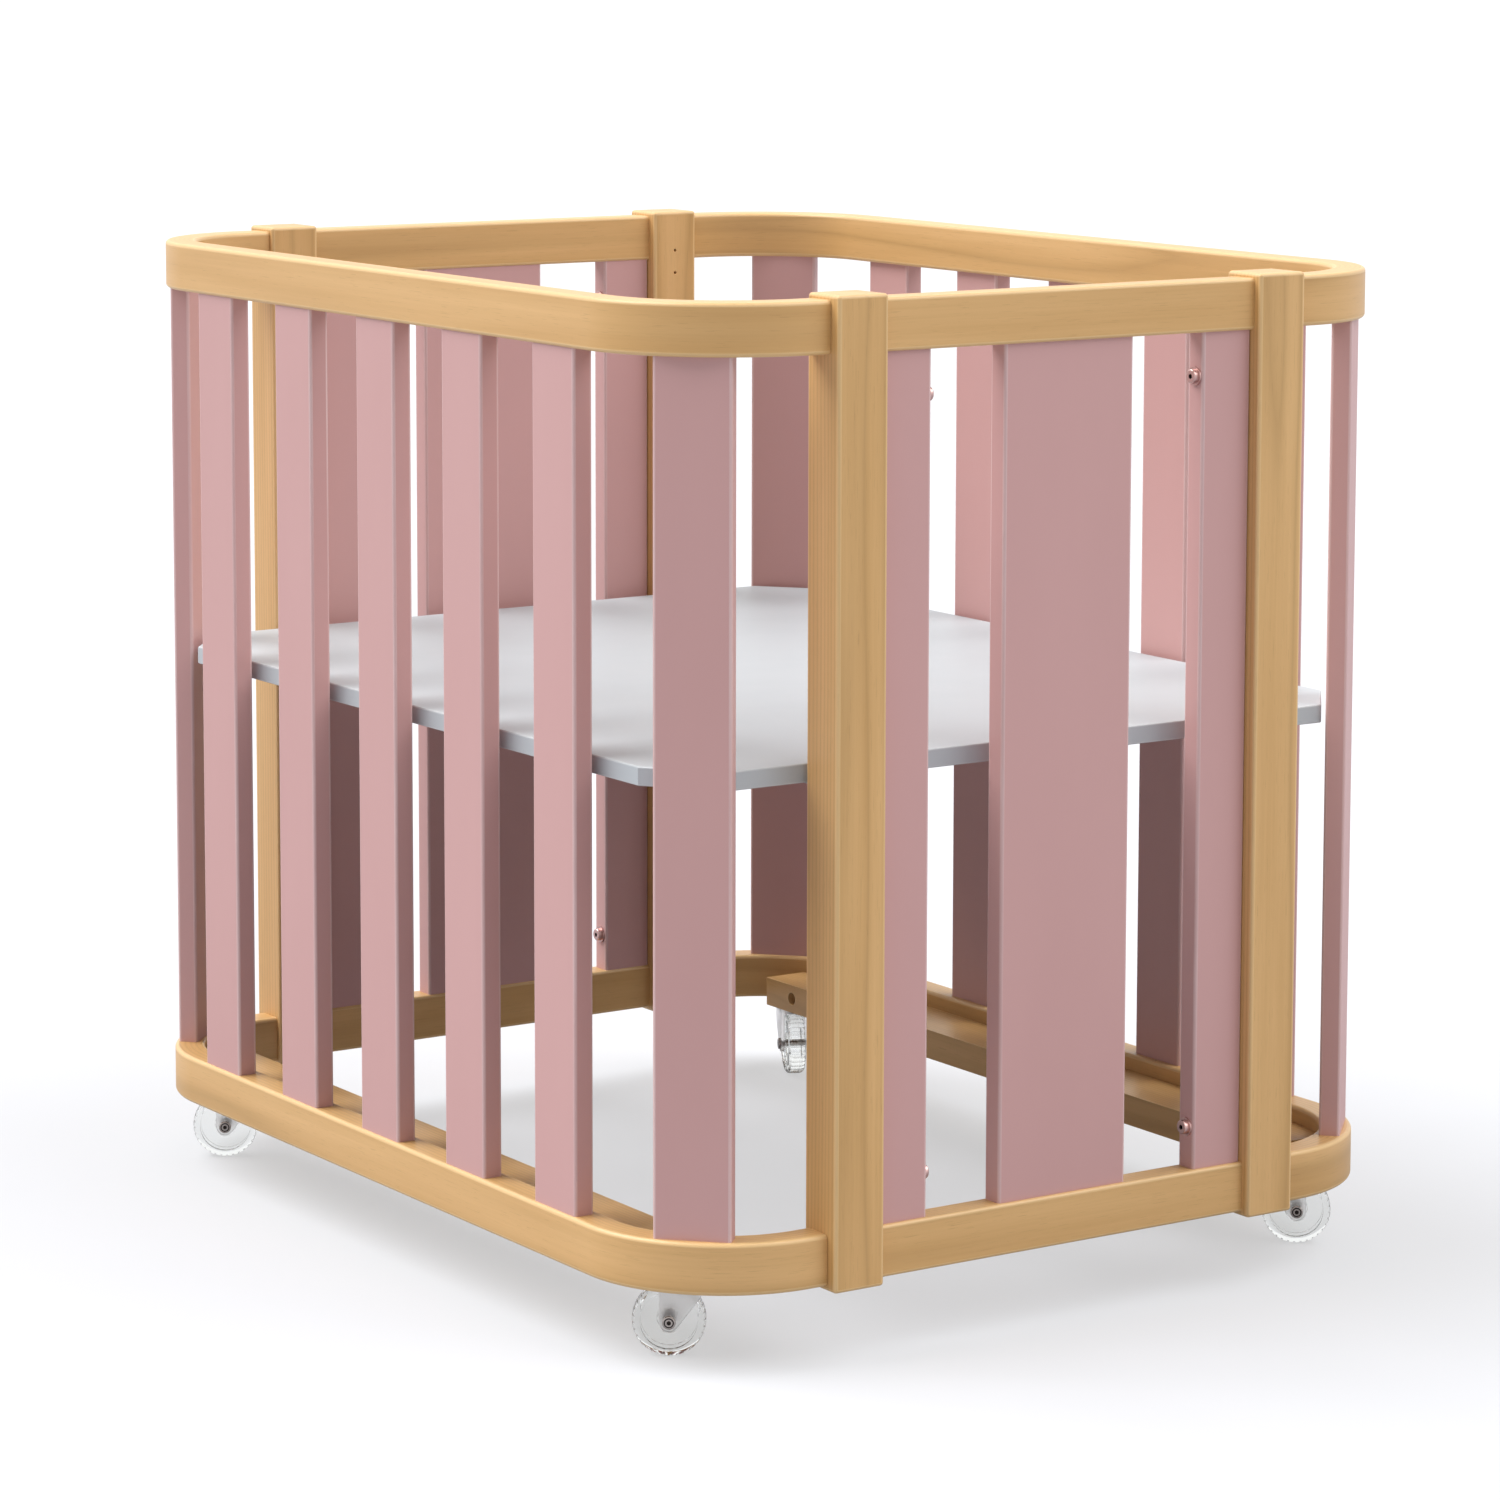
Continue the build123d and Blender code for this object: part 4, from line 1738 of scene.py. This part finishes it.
@dataclass
class Fasteners:
    """The screws whose heads show.

    Attributes:
        bolt_heights: Heights of the two bolts of each stile.
        washer: Thickness of the washer under a bolt.
        head: Radius of a bolt's head.
        head_height: Height of a bolt's head.
        socket: Size across the flats of its socket.
        shank: Radius of its shank.
        shank_length: Length under the head.
        tip_bevel: Bevel of its tip.
        screw_x: Distance of the board's screws from the middle, along X.
        screw_y: The same along Y.
        screw_head: Radius of their flush heads.
        screw_depth: How deep a head is sunk.
        screw_shank: Radius of their shanks.
        screw_tip: Height of their tips.
        cross_reach: Half the length of a blade of their cross recess.
        cross_blade: Half the width of such a blade.
        cross_depth: Depth of the recess.
    """

    bolt_heights: tuple[float, float] = (144 * MM, 778 * MM)
    washer: float = 1.5 * MM
    head: float = 6 * MM
    head_height: float = 4 * MM
    socket: float = 4 * MM
    shank: float = 3 * MM
    shank_length: float = 63.5 * MM
    tip_bevel: float = 0.8 * MM
    screw_x: float = 211.5 * MM
    screw_y: float = 419 * MM
    screw_head: float = 5 * MM
    screw_depth: float = 2.5 * MM
    screw_shank: float = 2.5 * MM
    screw_tip: float = 460 * MM
    cross_reach: float = 2.6 * MM
    cross_blade: float = 0.55 * MM
    cross_depth: float = 1.4 * MM

    def build(self, finishes: Finishes) -> None:
        """Builds the bolts and the board's screws.

        Args:
            finishes: The materials.
        """
        bolt = self.shape_bolt()
        bolts = []
        for depth in ("front", "rear"):
            for side, sign in (("left", -1), ("right", 1)):
                low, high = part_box(f"{depth}_panel_stile_{side}")
                edge = min(abs(low.x), abs(high.x))
                for height in self.bolt_heights:
                    spot = Vector((sign * edge, (low.y + high.y) / 2, height))
                    turn = Matrix.Rotation(0.0 if sign > 0 else math.pi, 4, "Z")
                    bolts.append(copy_placed(bolt, "bolt_copy", Matrix.Translation(spot) @ turn))
        bpy.data.objects.remove(bolt, do_unlink=True)
        joined = join_pieces(bolts, "panel_bolts_made")
        hand_over(joined, finishes.bolt, "panel_bolts")
        screw = self.shape_board_screw()
        screws = [
            copy_placed(screw, "screw_copy", Matrix.Translation((x, y, 0.0)))
            for x in (-self.screw_x, self.screw_x)
            for y in (-self.screw_y, self.screw_y)
        ]
        bpy.data.objects.remove(screw, do_unlink=True)
        joined = join_pieces(screws, "board_screws_made")
        hand_over(joined, finishes.steel, "board_screws")

    def shape_bolt(self) -> Object:
        """Shapes a bolt that points along +X from the stile's edge.

        Returns:
            The bolt.
        """
        seat = Vector((-self.washer, 0.0, 0.0))
        crown = seat - Vector((self.head_height, 0.0, 0.0))
        tip = seat + Vector((self.shank_length, 0.0, 0.0))
        shank = add_rod("bolt_shank", seat, tip, self.shank, 32)
        round_edges(shank, lambda place, way: place.x > tip.x - TOUCHING, self.tip_bevel, 1)
        smooth(shank)
        head = ScrewHead(self.head, self.socket).shape("bolt_head", seat, crown)
        return join_pieces([head, shank], "bolt")

    def shape_board_screw(self) -> Object:
        """Shapes a flush screw with a cross recess, standing on the Z axis.

        Returns:
            The screw.
        """
        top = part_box("mattress_board")[1].z
        deselect_all()
        bpy.ops.mesh.primitive_cone_add(
            vertices=48,
            radius1=self.screw_shank,
            radius2=self.screw_head,
            depth=self.screw_depth,
            location=(0.0, 0.0, top - self.screw_depth / 2),
        )
        head = bpy.context.object
        settle(head)
        reach, blade, sunk = self.cross_reach, self.cross_blade, self.cross_depth
        for half in (Vector((reach, blade, sunk)), Vector((blade, reach, sunk))):
            cut_with(head, add_block("recess_cutter", top * UP - half, top * UP + half))
        smooth(head, FINELY_SHARP)
        neck = Vector((0.0, 0.0, top - self.screw_depth))
        shank = add_rod("screw_shank", UP * self.screw_tip, neck, self.screw_shank, 24)
        return join_pieces([head, shank], "board_screw")


@dataclass
class Studio:
    """Floor, lights and camera.

    Attributes:
        place: Where the camera stands.
        heading: The camera's turn from +Y towards +X, in degrees.
        pitch: How far it looks down, in degrees.
        roll: Its tilt, in degrees.
        lens: Its focal length in millimetres.
        drop: Its lens shift downwards, as a share of the frame.
        floor_size: Length of the floor's sides.
        floor_tone: Colour of the floor, which tints the light it throws back.
        floor_glow: Share of the seen floor that is lifted towards white.
        glow_strength: Brightness of that share.
        white: Brightness of the seen background.
        sky: Brightness of the room's even light.
        left_way: The way to the left light.
        left_strength: Its strength.
        right_way: The way to the right light.
        right_strength: Its strength.
        spread: How wide both lights look, in degrees.
        sensor: Width of the camera's sensor in millimetres.
        far_clip: How far the camera sees.
    """

    place: Triple = (-2.44688, -3.69254, 1.17607)
    heading: float = 33.59
    pitch: float = 6.95
    roll: float = 0.11
    lens: float = 120.16
    drop: float = 1 / 6
    floor_size: float = 60.0
    floor_tone: Colour = (0.39, 0.40, 0.43)
    floor_glow: float = 0.23
    glow_strength: float = 2.2
    white: float = 1.1
    sky: float = 0.42
    left_way: Triple = (-1.0, 0.85, 1.7)
    left_strength: float = 3.5
    right_way: Triple = (0.95, -1.0, 1.7)
    right_strength: float = 1.9
    spread: float = 50.0
    sensor: float = 36.0
    far_clip: float = 100.0

    def build(self) -> None:
        """Sets the studio up."""
        self.lay_floor()
        self.light_room()
        self.aim_camera()
        bpy.context.scene.view_settings.view_transform = "Standard"

    def lay_floor(self) -> None:
        """Lays the plain pale floor."""
        deselect_all()
        bpy.ops.mesh.primitive_plane_add(size=self.floor_size, location=(0.0, 0.0, 0.0))
        floor = bpy.context.object
        floor.name = "studio_floor"
        surface = Surface("studio_floor")
        surface.set(Base_Color=(*self.floor_tone, 1.0), Roughness=0.9)
        glow = add_node(surface.tree, "Emission")
        glow.inputs["Strength"].default_value = self.glow_strength
        share = add_node(surface.tree, "Math", operation="MULTIPLY")
        share.inputs[1].default_value = self.floor_glow
        mix = add_node(surface.tree, "MixShader")
        links = surface.tree.links
        links.new(self.any_ray(surface.tree, "Camera", "Transmission"), share.inputs[0])
        links.new(share.outputs[0], mix.inputs["Fac"])
        links.new(surface.shader.outputs[0], mix.inputs[1])
        links.new(glow.outputs[0], mix.inputs[2])
        links.new(mix.outputs[0], surface.tree.nodes["Material Output"].inputs["Surface"])
        dress(floor, surface.material)

    def light_room(self) -> None:
        """Hangs the soft lights and lights the room evenly."""
        world = bpy.data.worlds.new("studio")
        bpy.context.scene.world = world
        world.use_nodes = True
        back = world.node_tree.nodes["Background"]
        seen = add_node(world.node_tree, "Background")
        seen.inputs["Color"].default_value = (1.0, 1.0, 1.0, 1.0)
        seen.inputs["Strength"].default_value = self.white
        back.inputs["Color"].default_value = (1.0, 1.0, 1.0, 1.0)
        back.inputs["Strength"].default_value = self.sky
        mix = add_node(world.node_tree, "MixShader")
        links = world.node_tree.links
        shown = self.any_ray(world.node_tree, "Camera", "Glossy", "Transmission")
        links.new(shown, mix.inputs["Fac"])
        links.new(back.outputs[0], mix.inputs[1])
        links.new(seen.outputs[0], mix.inputs[2])
        links.new(mix.outputs[0], world.node_tree.nodes["World Output"].inputs["Surface"])
        self.hang_sun("left_softbox", self.left_way, self.left_strength)
        self.hang_sun("right_softbox", self.right_way, self.right_strength)

    @staticmethod
    def any_ray(tree: NodeTree, *kinds: str) -> Socket:
        """Adds a mask of the rays that are of any of some kinds.

        Args:
            tree: Where the nodes go.
            *kinds: Names of the kinds of ray.

        Returns:
            The mask.
        """
        path = add_node(tree, "LightPath")
        mask = path.outputs[f"Is {kinds[0]} Ray"]
        for kind in kinds[1:]:
            either = add_node(tree, "Math", operation="MAXIMUM")
            tree.links.new(mask, either.inputs[0])
            tree.links.new(path.outputs[f"Is {kind} Ray"], either.inputs[1])
            mask = either.outputs[0]
        return mask

    def hang_sun(self, name: str, towards: Triple, strength: float) -> None:
        """Hangs one broad, soft, far light.

        Args:
            name: The light's name.
            towards: The way from the object to the light.
            strength: Its strength.
        """
        deselect_all()
        bpy.ops.object.light_add(type="SUN", location=Vector(towards) * 3.0)
        light = bpy.context.object
        light.name = name
        light.data.energy = strength
        light.data.angle = math.radians(self.spread)
        light.rotation_euler = Vector(towards).to_track_quat("Z", "Y").to_euler()

    def aim_camera(self) -> None:
        """Places the camera and makes it the scene's own."""
        deselect_all()
        bpy.ops.object.camera_add(location=self.place)
        camera = bpy.context.object
        turn = (
            Matrix.Rotation(-math.radians(self.heading), 4, "Z")
            @ Matrix.Rotation(math.radians(90 - self.pitch), 4, "X")
            @ Matrix.Rotation(math.radians(self.roll), 4, "Z")
        )
        camera.matrix_world = Matrix.Translation(self.place) @ turn
        camera.data.lens = self.lens
        camera.data.sensor_width = self.sensor
        camera.data.shift_y = -self.drop
        camera.data.clip_end = self.far_clip
        bpy.context.scene.camera = camera


def dress_hardware(finishes: Finishes) -> None:
    """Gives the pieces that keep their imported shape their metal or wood.

    Args:
        finishes: The materials.
    """
    special = {"panel_washers": finishes.bolt, "rail_dowels": finishes.dowel}
    for node, packed in frame["nodes"].items():
        if packed.hide_render:
            continue
        material = special.get(node, finishes.steel)
        dress(packed, material)
        log.info("%s: packed shape kept, %s", node, material.name)


def main() -> None:
    """Builds every sub-assembly in order, then the studio."""
    logging.basicConfig(level=logging.INFO, format="%(name)s: %(message)s")
    finishes = Finishes()
    book = GrainBook()
    EndRails().build(finishes, book)
    StraightWood().build(finishes, book)
    Slats().build(finishes)
    MattressBoard().build(finishes)
    CasterRails().build(finishes, book)
    Casters().build(finishes)
    Fasteners().build(finishes)
    dress_hardware(finishes)
    Studio().build()


if __name__ == "__main__":
    main()
